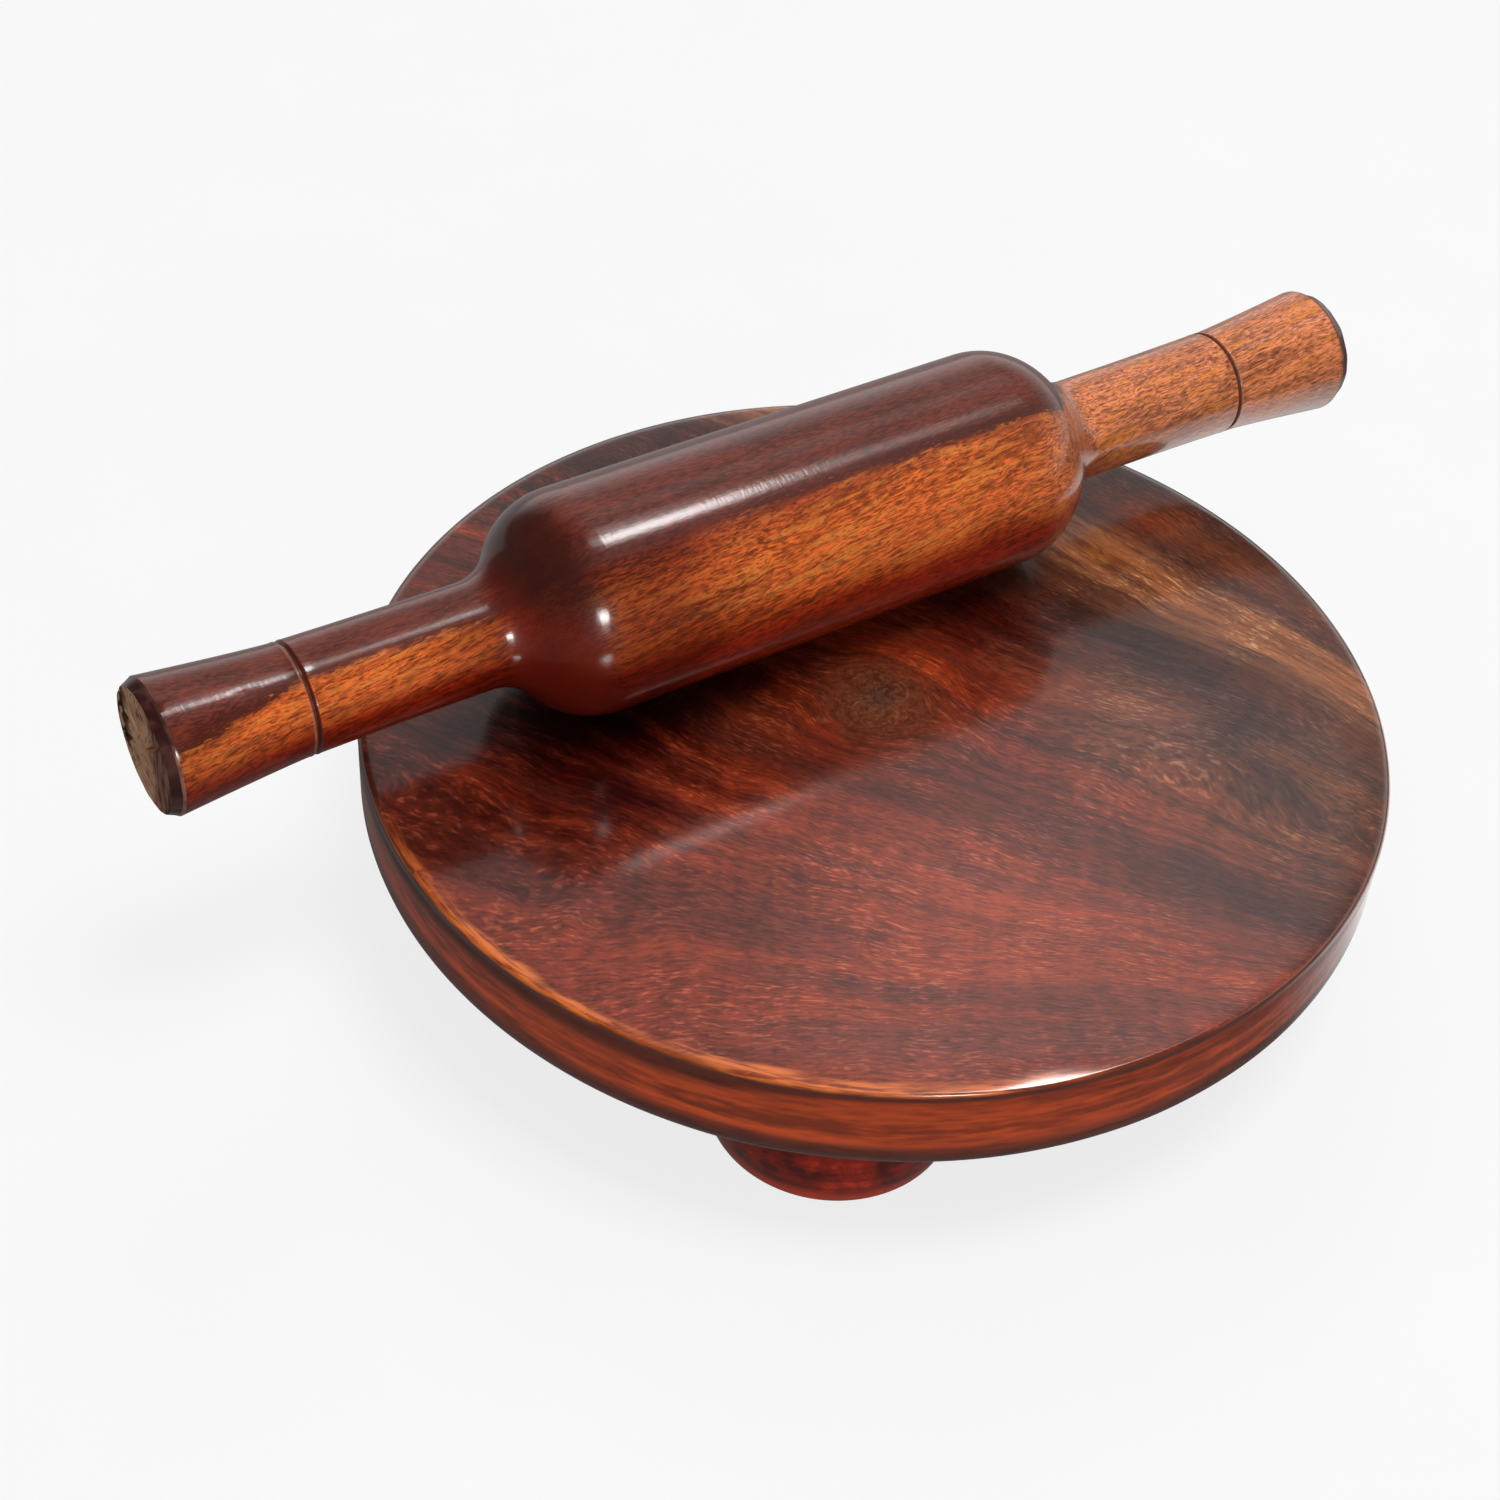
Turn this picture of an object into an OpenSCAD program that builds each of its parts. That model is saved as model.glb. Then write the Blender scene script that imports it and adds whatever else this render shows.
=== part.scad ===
// Round wooden rolling board on three turned feet, with its one-piece rolling pin resting on top.
// Millimetres. +X runs along the pin, +Y across the board, +Z up.
// The origin is on the table, under the middle of the whole set.

/* [Board] */
// Diameter of the round board
board_d = 240; // [225:5:260]
// Thickness of the board
board_t = 26.5; // [24:0.5:30]
// Radius of the small rounding on the top edge
top_edge_r = 3.4; // [1:0.2:5]
// Radius of the large rounding on the bottom edge
bottom_edge_r = 7.5; // [4:0.5:9]

/* [Feet] */
// Height of each foot, from the table to the board
foot_h = 25.5; // [22:0.5:32]
// Diameter of a foot at its widest
foot_d = 61; // [52:1:64]
// Height above the table at which a foot is widest
foot_belly_h = 20; // [16:1:22]
// Radius of the gently curved side of a foot
foot_side_r = 60; // [50:5:90]
// Radius of the rounding on the bottom edge of a foot
foot_edge_r = 4; // [2:0.5:5]
// Distance from the middle of the board to the middle of each foot
foot_reach = 81.5; // [60:0.5:82]
// Direction of the front foot, in degrees from the pin's axis, seen from above
front_foot_turn = -128; // [-180:1:0]

/* [Foot screws] */
// Thread diameter of a foot screw
screw_d = 4; // [3.5:0.5:5]
// Length of a foot screw
screw_len = 35; // [32:1:36]
// Diameter of a foot screw's countersunk head
screw_head_d = 8; // [7:0.5:9]
// Depth of the round recess that hides a screw's head
recess_depth = 6; // [4:0.5:8]
// Diameter of that recess
recess_d = 11; // [10:0.5:14]
// Diameter of the starter hole in the board
pilot_d = 3.2; // [2.5:0.1:3.4]

/* [Rolling pin] */
// Length of the rolling pin from end to end
pin_len = 319; // [300:1:340]
// Diameter of the barrel
barrel_d = 53; // [50:1:56]
// Length of the straight part of the barrel
barrel_len = 112; // [90:2:124]
// Radius of the barrel's rounded shoulder
shoulder_r = 20; // [16:1:22]
// Steepest slope of the shoulder, in degrees
shoulder_slope = 55; // [50:1:60]
// Diameter of the handle where it leaves the barrel
handle_root_d = 25; // [24:0.5:26]
// Diameter of the handle at its cut ring
handle_ring_d = 25.8; // [25:0.2:27]
// Diameter of the flared handle near its end
handle_end_d = 31.2; // [29:0.2:34]
// Diameter of the flat end face
end_face_d = 28.8; // [26:0.2:28.8]
// Length of the bevel round the end face
end_bevel = 2.6; // [1:0.2:4]
// Distance from the pin's end to its cut ring
ring_inset = 34; // [28:1:36]
// Width of the cut ring
ring_w = 1.4; // [0.8:0.2:2]
// Depth of the cut ring
ring_depth = 0.7; // [0.3:0.1:1]

/* [Where the pin rests] */
// How far the pin lies from the middle of the board
pin_across = 34.6; // [0:0.2:50]
// How far the board's middle lies along the pin from the pin's middle
board_along = 3.9; // [-20:0.1:20]

/* [Hidden] */
$fn = 96;

board_r = board_d / 2;
board_top = foot_h + board_t;
foot_turns = [front_foot_turn, front_foot_turn - 120, front_foot_turn + 120];
FRONT = 0;
LEFT = 1;
RIGHT = 2;

foot_r = foot_d / 2;
// Middle of the circle that the foot's side follows, and of its edge rounding
side_mid = foot_r - foot_side_r;
edge_mid = side_mid + sqrt(pow(foot_side_r - foot_edge_r, 2) - pow(foot_belly_h - foot_edge_r, 2));
// Height at which the edge rounding runs into the side
edge_top = foot_belly_h - (foot_belly_h - foot_edge_r) * foot_side_r / (foot_side_r - foot_edge_r);

screw_r = screw_d / 2;
screw_head_r = screw_head_d / 2;
screw_head_h = screw_head_r - screw_r;
screw_hole_r = screw_r + 0.2;
screw_point_len = 5;
screw_tip = recess_depth + screw_len;
drive_slot_w = 1;
drive_slot_len = 4.4;
drive_slot_depth = 1.6;
pilot_end = screw_tip + 1;

// The barrel is held a hair clear of the board that it rests on
rest_gap = 0.25;
barrel_r = barrel_d / 2;
pin_half = pin_len / 2;
barrel_half = barrel_len / 2;
pin_axis_z = board_top + rest_gap + barrel_r;
root_r = handle_root_d / 2;
shoulder_drop = shoulder_r * (1 - cos(shoulder_slope));
shoulder_run = shoulder_r * sin(shoulder_slope);
cove_top_r = barrel_r - shoulder_drop;
cove_r = (cove_top_r - root_r) / (1 - cos(shoulder_slope));
cove_start = barrel_half + shoulder_run;
cove_end = cove_start + cove_r * sin(shoulder_slope);
ring_at = pin_half - ring_inset;
ring_r = handle_ring_d / 2;
flare_end = pin_half - end_bevel;
flare_r = handle_end_d / 2;

board_colour = "#5c2417";
foot_colour = "#6b1f16";
pin_colour = "#8a3a1c";
screw_colour = "#b9b6ae";

// Puts its child under the board at one foot's place
module at_foot(which) {
    translate([board_along, 0, 0])
        rotate([0, 0, foot_turns[which]])
            translate([foot_reach, 0, 0]) children();
}

// Half section of the board: upright wall between two rounded edges
module board_section() {
    square([board_r - bottom_edge_r, board_t]);
    translate([0, bottom_edge_r])
        square([board_r - top_edge_r, board_t - bottom_edge_r]);
    translate([0, bottom_edge_r])
        square([board_r, board_t - bottom_edge_r - top_edge_r]);
    translate([board_r - bottom_edge_r, bottom_edge_r]) circle(r = bottom_edge_r);
    translate([board_r - top_edge_r, board_t - top_edge_r]) circle(r = top_edge_r);
}

// One thick round of wood, with a blind starter hole over each foot
module rolling_board() {
    color(board_colour)
    difference() {
        translate([board_along, 0, foot_h]) rotate_extrude() board_section();
        for (which = [FRONT, LEFT, RIGHT])
            at_foot(which)
                translate([0, 0, foot_h - 1])
                    cylinder(d = pilot_d, h = pilot_end - foot_h + 1);
    }
}

// Half section of a foot: curved side, rounded bottom edge, flat top and bottom
module foot_section() {
    square([edge_mid, foot_h]);
    translate([edge_mid, foot_edge_r]) circle(r = foot_edge_r);
    intersection() {
        translate([side_mid, foot_belly_h]) circle(r = foot_side_r, $fn = 360);
        translate([0, edge_top]) square([foot_r + 1, foot_h - edge_top]);
    }
}

// Turned foot, bored through for its screw and recessed below to hide the head
module foot(which) {
    color(foot_colour)
    at_foot(which) difference() {
        rotate_extrude() foot_section();
        translate([0, 0, -1]) cylinder(d = recess_d, h = recess_depth + 1);
        translate([0, 0, recess_depth - 1]) cylinder(r = screw_hole_r, h = foot_h);
        translate([0, 0, recess_depth])
            cylinder(r1 = screw_hole_r + screw_head_h, r2 = screw_hole_r, h = screw_head_h);
    }
}

module foot_front() { foot(FRONT); }
module foot_left() { foot(LEFT); }
module foot_right() { foot(RIGHT); }

// Wood screw driven up from below: countersunk head, shank and tapered point
module foot_screw(which) {
    color(screw_colour)
    at_foot(which) translate([0, 0, recess_depth]) difference() {
        union() {
            cylinder(r1 = screw_head_r, r2 = screw_r, h = screw_head_h);
            cylinder(r = screw_r, h = screw_len - screw_point_len);
            translate([0, 0, screw_len - screw_point_len])
                cylinder(r1 = screw_r, r2 = 0.3, h = screw_point_len);
        }
        for (turn = [0, 90])
            rotate([0, 0, turn])
                translate([-drive_slot_len / 2, -drive_slot_w / 2, -1])
                    cube([drive_slot_len, drive_slot_w, drive_slot_depth + 1]);
    }
}

module foot_screw_front() { foot_screw(FRONT); }
module foot_screw_left() { foot_screw(LEFT); }
module foot_screw_right() { foot_screw(RIGHT); }

// Half section of one half of the pin, from its middle to one end
module pin_section() {
    square([barrel_r, barrel_half]);
    intersection() {
        translate([barrel_r - shoulder_r, barrel_half]) circle(r = shoulder_r);
        translate([0, barrel_half]) square([barrel_r, shoulder_run]);
    }
    difference() {
        translate([0, cove_start]) square([cove_top_r, cove_end - cove_start]);
        translate([root_r + cove_r, cove_end]) circle(r = cove_r);
    }
    difference() {
        polygon([[0, cove_end], [root_r, cove_end], [ring_r, ring_at], [flare_r, flare_end],
            [end_face_d / 2, pin_half], [0, pin_half]]);
        polygon([[ring_r - ring_depth, ring_at], [ring_r + 1, ring_at - ring_w],
            [ring_r + 1, ring_at + ring_w]]);
    }
}

// One piece of wood: straight barrel, rounded shoulders, ringed and flared handles
module rolling_pin() {
    color(pin_colour)
    translate([0, pin_across, pin_axis_z])
        rotate([0, 90, 0])
            rotate_extrude() {
                pin_section();
                mirror([0, 1]) pin_section();
            }
}

rolling_board();
foot_front();
foot_left();
foot_right();
foot_screw_front();
foot_screw_left();
foot_screw_right();
rolling_pin();
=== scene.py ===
import math

import bmesh
import bpy
from bpy.props import FloatProperty, FloatVectorProperty, IntProperty, PointerProperty
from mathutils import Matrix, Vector, noise


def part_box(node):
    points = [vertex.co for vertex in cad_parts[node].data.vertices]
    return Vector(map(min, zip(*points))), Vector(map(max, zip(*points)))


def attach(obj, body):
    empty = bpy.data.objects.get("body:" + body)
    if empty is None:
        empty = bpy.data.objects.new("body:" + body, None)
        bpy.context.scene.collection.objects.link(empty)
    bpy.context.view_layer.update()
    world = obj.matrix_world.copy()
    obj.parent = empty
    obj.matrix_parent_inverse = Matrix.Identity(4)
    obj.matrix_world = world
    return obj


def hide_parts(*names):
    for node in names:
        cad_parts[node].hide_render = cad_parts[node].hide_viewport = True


bl_info = {
    "name": "Rolling Board Set",
    "version": (1, 0, 0),
    "blender": (4, 5, 0),
    "location": "View3D > Sidebar > Rolling Board",
    "description": "Makes a lacquered rolling board on feet, its rolling pin and a studio for both",
    "category": "Add Mesh",
}

# Metres in a millimetre, and millimetres in a metre
MM = 0.001
PER_MM = 1000.0

# The fixed frame comes first, so that every size below can start from it
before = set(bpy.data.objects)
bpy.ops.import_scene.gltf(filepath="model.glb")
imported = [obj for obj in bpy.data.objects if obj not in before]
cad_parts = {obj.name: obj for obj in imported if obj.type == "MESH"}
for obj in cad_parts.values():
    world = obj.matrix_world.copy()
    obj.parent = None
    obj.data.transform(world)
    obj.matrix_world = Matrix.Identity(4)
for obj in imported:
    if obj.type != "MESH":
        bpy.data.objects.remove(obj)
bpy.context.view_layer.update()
BOARD_LOW, BOARD_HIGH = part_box("rolling_board")
PIN_LOW, PIN_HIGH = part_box("rolling_pin")
BOARD_MIDDLE = (BOARD_LOW + BOARD_HIGH) / 2
PIN_MIDDLE = (PIN_LOW + PIN_HIGH) / 2
BOARD_RADIUS = (BOARD_HIGH.x - BOARD_LOW.x) / 2
FEET = ("front", "left", "right")


def middle_of(node):
    """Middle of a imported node's box."""
    low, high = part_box(node)
    return (low + high) / 2


class BoardSettings(bpy.types.PropertyGroup):
    """Shape and wood of the round board."""

    lower_edge: FloatProperty(
        name="Lower edge", description="Radius of the rounding under the wall",
        default=7.5 * MM, min=1 * MM, unit="LENGTH")
    arris: FloatProperty(
        name="Arris", description="Mean radius of the rounding between wall and top",
        default=3.4 * MM, min=1 * MM, unit="LENGTH")
    arris_swing: FloatProperty(
        name="Arris swing", description="How much crisper the arris is in front, and softer behind",
        default=3.0 * MM, min=0.0, unit="LENGTH")
    arris_least: FloatProperty(
        name="Crispest arris", description="Smallest radius of the arris",
        default=0.8 * MM, min=0.2 * MM, unit="LENGTH")
    margin: FloatProperty(
        name="Sanded margin", description="Width of the top's margin that sanding has rolled off",
        default=9.0 * MM, min=1 * MM, unit="LENGTH")
    margin_drop: FloatProperty(
        name="Margin drop", description="How far the margin has dropped at the arris",
        default=0.80 * MM, min=0.0, unit="LENGTH")
    undercut: FloatProperty(
        name="Undercut", description="Depth of the shallow turned hollow under the arris",
        default=0.3 * MM, min=0.0, unit="LENGTH")
    ripple: FloatProperty(
        name="Ripple", description="How far the hand-sanded top dips between its high spots",
        default=0.07 * MM, min=0.0, unit="LENGTH")
    segments: IntProperty(
        name="Segments", description="Steps round the board", default=288, min=48)
    gloss: FloatProperty(
        name="Gloss", description="Refractive index of the clear lacquer",
        default=1.75, min=1.0, max=2.5)
    red: FloatVectorProperty(
        name="Red wood", description="Colour of the plain wood", subtype="COLOR",
        default=(0.150, 0.0185, 0.0060), min=0.0, max=1.0)
    brown: FloatVectorProperty(
        name="Brown wood", description="Colour of the figured wood to the right", subtype="COLOR",
        default=(0.078, 0.0190, 0.0090), min=0.0, max=1.0)
    dark: FloatVectorProperty(
        name="Dark bands", description="Colour of the dark growth bands", subtype="COLOR",
        default=(0.018, 0.0040, 0.0030), min=0.0, max=1.0)
    gold: FloatVectorProperty(
        name="Gold streaks", description="Colour of the golden streaks", subtype="COLOR",
        default=(0.360, 0.1150, 0.0380), min=0.0, max=1.0)
    fleck: FloatVectorProperty(
        name="Flecks", description="Tint of the fine light flecks along the grain", subtype="COLOR",
        default=(0.550, 0.8500, 1.0000), min=0.0, max=1.0)
    edge: FloatVectorProperty(
        name="Worn edge", description="Colour where the stain is rubbed thin at the arris",
        subtype="COLOR", default=(0.740, 0.1750, 0.0340), min=0.0, max=1.0)
    wall: FloatVectorProperty(
        name="Wall", description="Colour of the lighter streaks round the wall", subtype="COLOR",
        default=(0.600, 0.0740, 0.0120), min=0.0, max=1.0)
    # The dark wall colour is darker wood and also painted shade low on the wall
    wall_dark: FloatVectorProperty(
        name="Dark wall", description="Colour of the wall's darker lower part", subtype="COLOR",
        default=(0.125, 0.0220, 0.0100), min=0.0, max=1.0)


class FootSettings(bpy.types.PropertyGroup):
    """Shape and wood of the three turned feet."""

    belly: FloatProperty(
        name="Belly", description="Height at which a foot is widest",
        default=20 * MM, min=5 * MM, unit="LENGTH")
    side: FloatProperty(
        name="Side", description="Radius of the curve that the side follows",
        default=60 * MM, min=30 * MM, unit="LENGTH")
    lower_edge: FloatProperty(
        name="Lower edge", description="Radius of the rounding at the bottom",
        default=4 * MM, min=1 * MM, unit="LENGTH")
    recess: FloatProperty(
        name="Recess", description="Radius of the recess that hides the screw's head",
        default=5.5 * MM, min=4 * MM, unit="LENGTH")
    recess_depth: FloatProperty(
        name="Recess depth", description="Depth of that recess",
        default=6 * MM, min=1 * MM, unit="LENGTH")
    bore: FloatProperty(
        name="Bore", description="Radius of the hole for the screw's shank",
        default=2.2 * MM, min=1 * MM, unit="LENGTH")
    segments: IntProperty(
        name="Segments", description="Steps round a foot", default=160, min=32)
    gloss: FloatProperty(
        name="Gloss", description="Refractive index of the clear lacquer",
        default=1.35, min=1.0, max=2.5)
    red: FloatVectorProperty(
        name="Red wood", description="Colour of the plain wood", subtype="COLOR",
        default=(0.360, 0.0220, 0.0070), min=0.0, max=1.0)
    dark: FloatVectorProperty(
        name="Dark grain", description="Colour of the darker grain", subtype="COLOR",
        default=(0.110, 0.0080, 0.0040), min=0.0, max=1.0)
    # The lighter grain's colour is also the painted light on each foot's lower outer side
    light: FloatVectorProperty(
        name="Light grain", description="Colour of the lighter grain", subtype="COLOR",
        default=(0.900, 0.0800, 0.0220), min=0.0, max=1.0)


class ScrewSettings(bpy.types.PropertyGroup):
    """Shape and metal of the screws that hold the feet."""

    head: FloatProperty(
        name="Head", description="Radius of the countersunk head",
        default=4 * MM, min=2 * MM, unit="LENGTH")
    shank: FloatProperty(
        name="Shank", description="Radius of the plain shank and of the thread's crest",
        default=2 * MM, min=1 * MM, unit="LENGTH")
    root: FloatProperty(
        name="Root", description="Radius at the bottom of the thread",
        default=1.35 * MM, min=0.5 * MM, unit="LENGTH")
    pitch: FloatProperty(
        name="Pitch", description="Distance between two turns of the thread",
        default=1.8 * MM, min=0.5 * MM, unit="LENGTH")
    plain: FloatProperty(
        name="Plain length", description="Length of head and plain shank, before the thread starts",
        default=13 * MM, min=2 * MM, unit="LENGTH")
    point: FloatProperty(
        name="Point", description="Length of the tapered point",
        default=5 * MM, min=1 * MM, unit="LENGTH")
    segments: IntProperty(
        name="Segments", description="Steps round a screw", default=40, min=16)
    steel: FloatVectorProperty(
        name="Steel", description="Colour of the plated steel", subtype="COLOR",
        default=(0.55, 0.54, 0.52), min=0.0, max=1.0)


class PinSettings(bpy.types.PropertyGroup):
    """Shape and wood of the rolling pin."""

    straight: FloatProperty(
        name="Straight barrel", description="Length of the barrel's straight part",
        default=112 * MM, min=20 * MM, unit="LENGTH")
    shoulder: FloatProperty(
        name="Shoulder", description="Radius of the rounded shoulder",
        default=20 * MM, min=5 * MM, unit="LENGTH")
    slope: FloatProperty(
        name="Slope", description="Steepest slope of the shoulder",
        default=math.radians(55), min=0.1, max=1.5, unit="ROTATION")
    root: FloatProperty(
        name="Handle root", description="Radius of the handle where it leaves the barrel",
        default=12.5 * MM, min=5 * MM, unit="LENGTH")
    ring: FloatProperty(
        name="Handle at ring", description="Radius of the handle at its cut ring",
        default=12.9 * MM, min=5 * MM, unit="LENGTH")
    flare: FloatProperty(
        name="Handle end", description="Radius of the flared end",
        default=15.6 * MM, min=5 * MM, unit="LENGTH")
    face: FloatProperty(
        name="End face", description="Radius of the sawn end face",
        default=14.4 * MM, min=5 * MM, unit="LENGTH")
    bevel: FloatProperty(
        name="Bevel", description="Length of the bevel round the end face",
        default=2.6 * MM, min=0.5 * MM, unit="LENGTH")
    ring_inset: FloatProperty(
        name="Ring inset", description="Distance from the pin's end to its cut ring",
        default=34 * MM, min=10 * MM, unit="LENGTH")
    ring_depth: FloatProperty(
        name="Ring depth", description="Depth of the cut ring",
        default=0.7 * MM, min=0.0, unit="LENGTH")
    crack: FloatProperty(
        name="Crack depth", description="Depth of the drying cracks in the end faces",
        default=1.5 * MM, min=0.0, unit="LENGTH")
    segments: IntProperty(
        name="Segments", description="Steps round the pin", default=240, min=48)
    gloss: FloatProperty(
        name="Gloss", description="Refractive index of the clear lacquer",
        default=1.5, min=1.0, max=2.5)
    orange: FloatVectorProperty(
        name="Orange wood", description="Colour of the open-grained lower side", subtype="COLOR",
        default=(0.540, 0.1050, 0.0180), min=0.0, max=1.0)
    golden: FloatVectorProperty(
        name="Golden streaks", description="Colour of the lighter streaks in the orange wood",
        subtype="COLOR", default=(0.720, 0.2200, 0.0360), min=0.0, max=1.0)
    pale: FloatVectorProperty(
        name="Pale wood", description="Colour of the paler right-hand handle", subtype="COLOR",
        default=(0.540, 0.1680, 0.0680), min=0.0, max=1.0)
    purple: FloatVectorProperty(
        name="Dark heartwood", description="Colour of the dark upper side", subtype="COLOR",
        default=(0.115, 0.0190, 0.0090), min=0.0, max=1.0)
    pore: FloatVectorProperty(
        name="Pores", description="Colour of the dark pore dashes", subtype="COLOR",
        default=(0.095, 0.0150, 0.0050), min=0.0, max=1.0)
    sawn: FloatVectorProperty(
        name="Sawn end", description="Colour of the bare sawn end grain", subtype="COLOR",
        default=(0.800, 0.5000, 0.2900), min=0.0, max=1.0)


class StageSettings(bpy.types.PropertyGroup):
    """Camera, floor and light."""

    camera_place: FloatVectorProperty(
        name="Camera place", description="Where the camera stands", subtype="TRANSLATION",
        default=(-0.27943, -0.36182, 0.45723), unit="LENGTH")
    camera_turn: FloatVectorProperty(
        name="Camera turn", description="Which way the camera looks", subtype="EULER",
        default=(math.radians(47.0626), math.radians(-2.9774), math.radians(-31.7608)))
    lens: FloatProperty(
        name="Lens", description="Focal length in millimetres, on a sensor 36 mm wide",
        default=63.0, min=10.0)
    floor_size: FloatProperty(
        name="Floor", description="Side of the square floor", default=14.0, min=2.0, unit="LENGTH")
    fill: FloatProperty(
        name="Fill", description="Strength of the even light near the horizon",
        default=0.20, min=0.0)
    fill_rise: FloatProperty(
        name="Fill rise", description="How many times stronger that light is straight above",
        default=2.0, min=0.0)
    dim_side: FloatProperty(
        name="Dim side", description="What reflections see on the camera's side", default=0.04,
        min=0.0, max=1.0)
    key: FloatProperty(
        name="Key", description="Power of the big soft light above", default=31.0, min=0.0,
        unit="POWER")
    key_place: FloatVectorProperty(
        name="Key place", description="Where that light hangs", subtype="TRANSLATION",
        default=(0.25, -0.42, 2.1), unit="LENGTH")
    front: FloatProperty(
        name="Front", description="Power of the big soft light low in front", default=8.5, min=0.0,
        unit="POWER")
    front_place: FloatVectorProperty(
        name="Front place", description="Where that light stands", subtype="TRANSLATION",
        default=(-0.55, -1.50, 0.32), unit="LENGTH")
    back: FloatProperty(
        name="Back", description="Power of the big soft light behind", default=10.0, min=0.0,
        unit="POWER")
    back_place: FloatVectorProperty(
        name="Back place", description="Where that light hangs", subtype="TRANSLATION",
        default=(0.75, 1.35, 1.55), unit="LENGTH")
    window: FloatProperty(
        name="Window", description="Power of the window, which is seen only as a highlight",
        default=58.0, min=0.0, unit="POWER")
    overhead: FloatProperty(
        name="Overhead", description="Power of the long lamp over the pin", default=27.0, min=0.0,
        unit="POWER")
    background: FloatProperty(
        name="Background", description="Brightness of the backdrop as it is seen",
        default=0.956, min=0.0, max=1.0)
    floor_grey: FloatProperty(
        name="Floor grey", description="Share of light that the floor scatters", default=0.13,
        min=0.0, max=1.0)
    floor_lift: FloatProperty(
        name="Floor lift", description="Brightness added to the floor where it is seen directly",
        default=0.80, min=0.0, max=1.0)


# How far the noise is moved for each next seed, in millimetres
NEXT_NOISE = Vector((31.7, 17.3, 57.1))


class Finish:
    """Shader nodes of one material, lamp or world. Each method adds a node and gives back its output,
    and all lengths are millimetres."""

    def __init__(self, owner):
        owner.use_nodes = True
        self.owner = owner
        self.nodes = owner.node_tree.nodes
        self.links = owner.node_tree.links
        self.nodes.clear()

    def add(self, kind, inputs, **settings):
        """A node of this kind, its inputs linked to sockets or set to values."""
        node = self.nodes.new(kind)
        for name, setting in settings.items():
            setattr(node, name, setting)
        for name, source in inputs.items():
            if isinstance(source, bpy.types.NodeSocket):
                self.links.new(source, node.inputs[name])
            else:
                node.inputs[name].default_value = source
        return node

    def sums(self, operation, *terms):
        """One step of arithmetic."""
        return self.add("ShaderNodeMath", dict(enumerate(terms)), operation=operation).outputs[0]

    def product(self, first, *others):
        """All of these multiplied together."""
        for other in others:
            first = self.sums("MULTIPLY", first, other)
        return first

    def blend(self, *parts):
        """Weighted sum of (value, weight) pairs."""
        total = self.sums("MULTIPLY", *parts[0])
        for value, weight in parts[1:]:
            total = self.sums("MULTIPLY_ADD", value, weight, total)
        return total

    def point(self, x, y, z):
        """A point from its three coordinates."""
        return self.add("ShaderNodeCombineXYZ", {0: x, 1: y, 2: z}).outputs[0]

    def stretched(self, place, factors):
        """A point whose three coordinates are multiplied by factors."""
        pairs = zip(place, factors)
        return self.point(*(part if by == 1.0 else self.product(part, by) for part, by in pairs))

    def split(self, point):
        """The three coordinates of a point."""
        return self.add("ShaderNodeSeparateXYZ", {0: point}).outputs[:3]

    def length(self, x, y):
        """Distance of the level point (x, y) from zero."""
        node = self.add("ShaderNodeVectorMath", {0: self.point(x, y, 0.0)}, operation="LENGTH")
        return node.outputs["Value"]

    def distance(self, x, y, spot):
        """Distance of the level point (x, y) from a fixed spot."""
        return self.length(self.sums("SUBTRACT", x, spot[0]), self.sums("SUBTRACT", y, spot[1]))

    def toward(self, direction, heading):
        """How far a direction points along a fixed heading."""
        inputs = {0: direction, 1: heading}
        return self.add("ShaderNodeVectorMath", inputs, operation="DOT_PRODUCT").outputs["Value"]

    def place(self, origin=(0.0, 0.0, 0.0)):
        """Coordinates on the piece, in millimetres from origin."""
        spot = self.add("ShaderNodeTexCoord", {}).outputs["Object"]
        inputs = {0: spot, 1: Vector(origin)}
        moved = self.add("ShaderNodeVectorMath", inputs, operation="SUBTRACT").outputs[0]
        return self.split(self.times(moved, PER_MM))

    def facing(self):
        """The three parts of the direction that the surface faces."""
        return self.split(self.add("ShaderNodeTexCoord", {}).outputs["Normal"])

    def ease(self, value, low, high, start=0.0, end=1.0):
        """Goes smoothly from start to end while value goes from low to high."""
        inputs = {"Value": value, "From Min": low, "From Max": high, "To Min": start, "To Max": end}
        node = self.add("ShaderNodeMapRange", inputs, interpolation_type="SMOOTHSTEP")
        return node.outputs["Result"]

    def band(self, value, middle, half, soft):
        """1 within half of middle, falling to 0 over soft on both sides."""
        away = self.sums("ABSOLUTE", self.sums("SUBTRACT", value, middle))
        return self.ease(away, half, half + soft, 1.0, 0.0)

    def noise(self, where, grain, seed, detail=2.0, rough=0.5):
        """Noise from 0 to 1 whose spots are about grain wide. Each seed gives other spots."""
        inputs = {0: where, 1: NEXT_NOISE * seed}
        moved = self.add("ShaderNodeVectorMath", inputs, operation="ADD").outputs[0]
        inputs = {"Vector": moved, "Scale": 1.0 / grain, "Detail": detail, "Roughness": rough}
        return self.add("ShaderNodeTexNoise", inputs).outputs[0]

    def grained(self, along, across, rise, first_seed=0):
        """A function that makes noise drawn out along the grain."""

        def streaky(stretch, grain, seed, detail=2.0):
            """Noise with spots as wide as grain, and longer the smaller stretch is."""
            where = self.stretched((along, across, rise), (stretch, 1.0, 1.0))
            return self.noise(where, grain, seed + first_seed, detail)

        return streaky

    def between(self, share, first, second):
        """Number that goes from first to second as share goes from 0 to 1."""
        return self.add("ShaderNodeMix", {0: share, 2: first, 3: second}).outputs[0]

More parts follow.
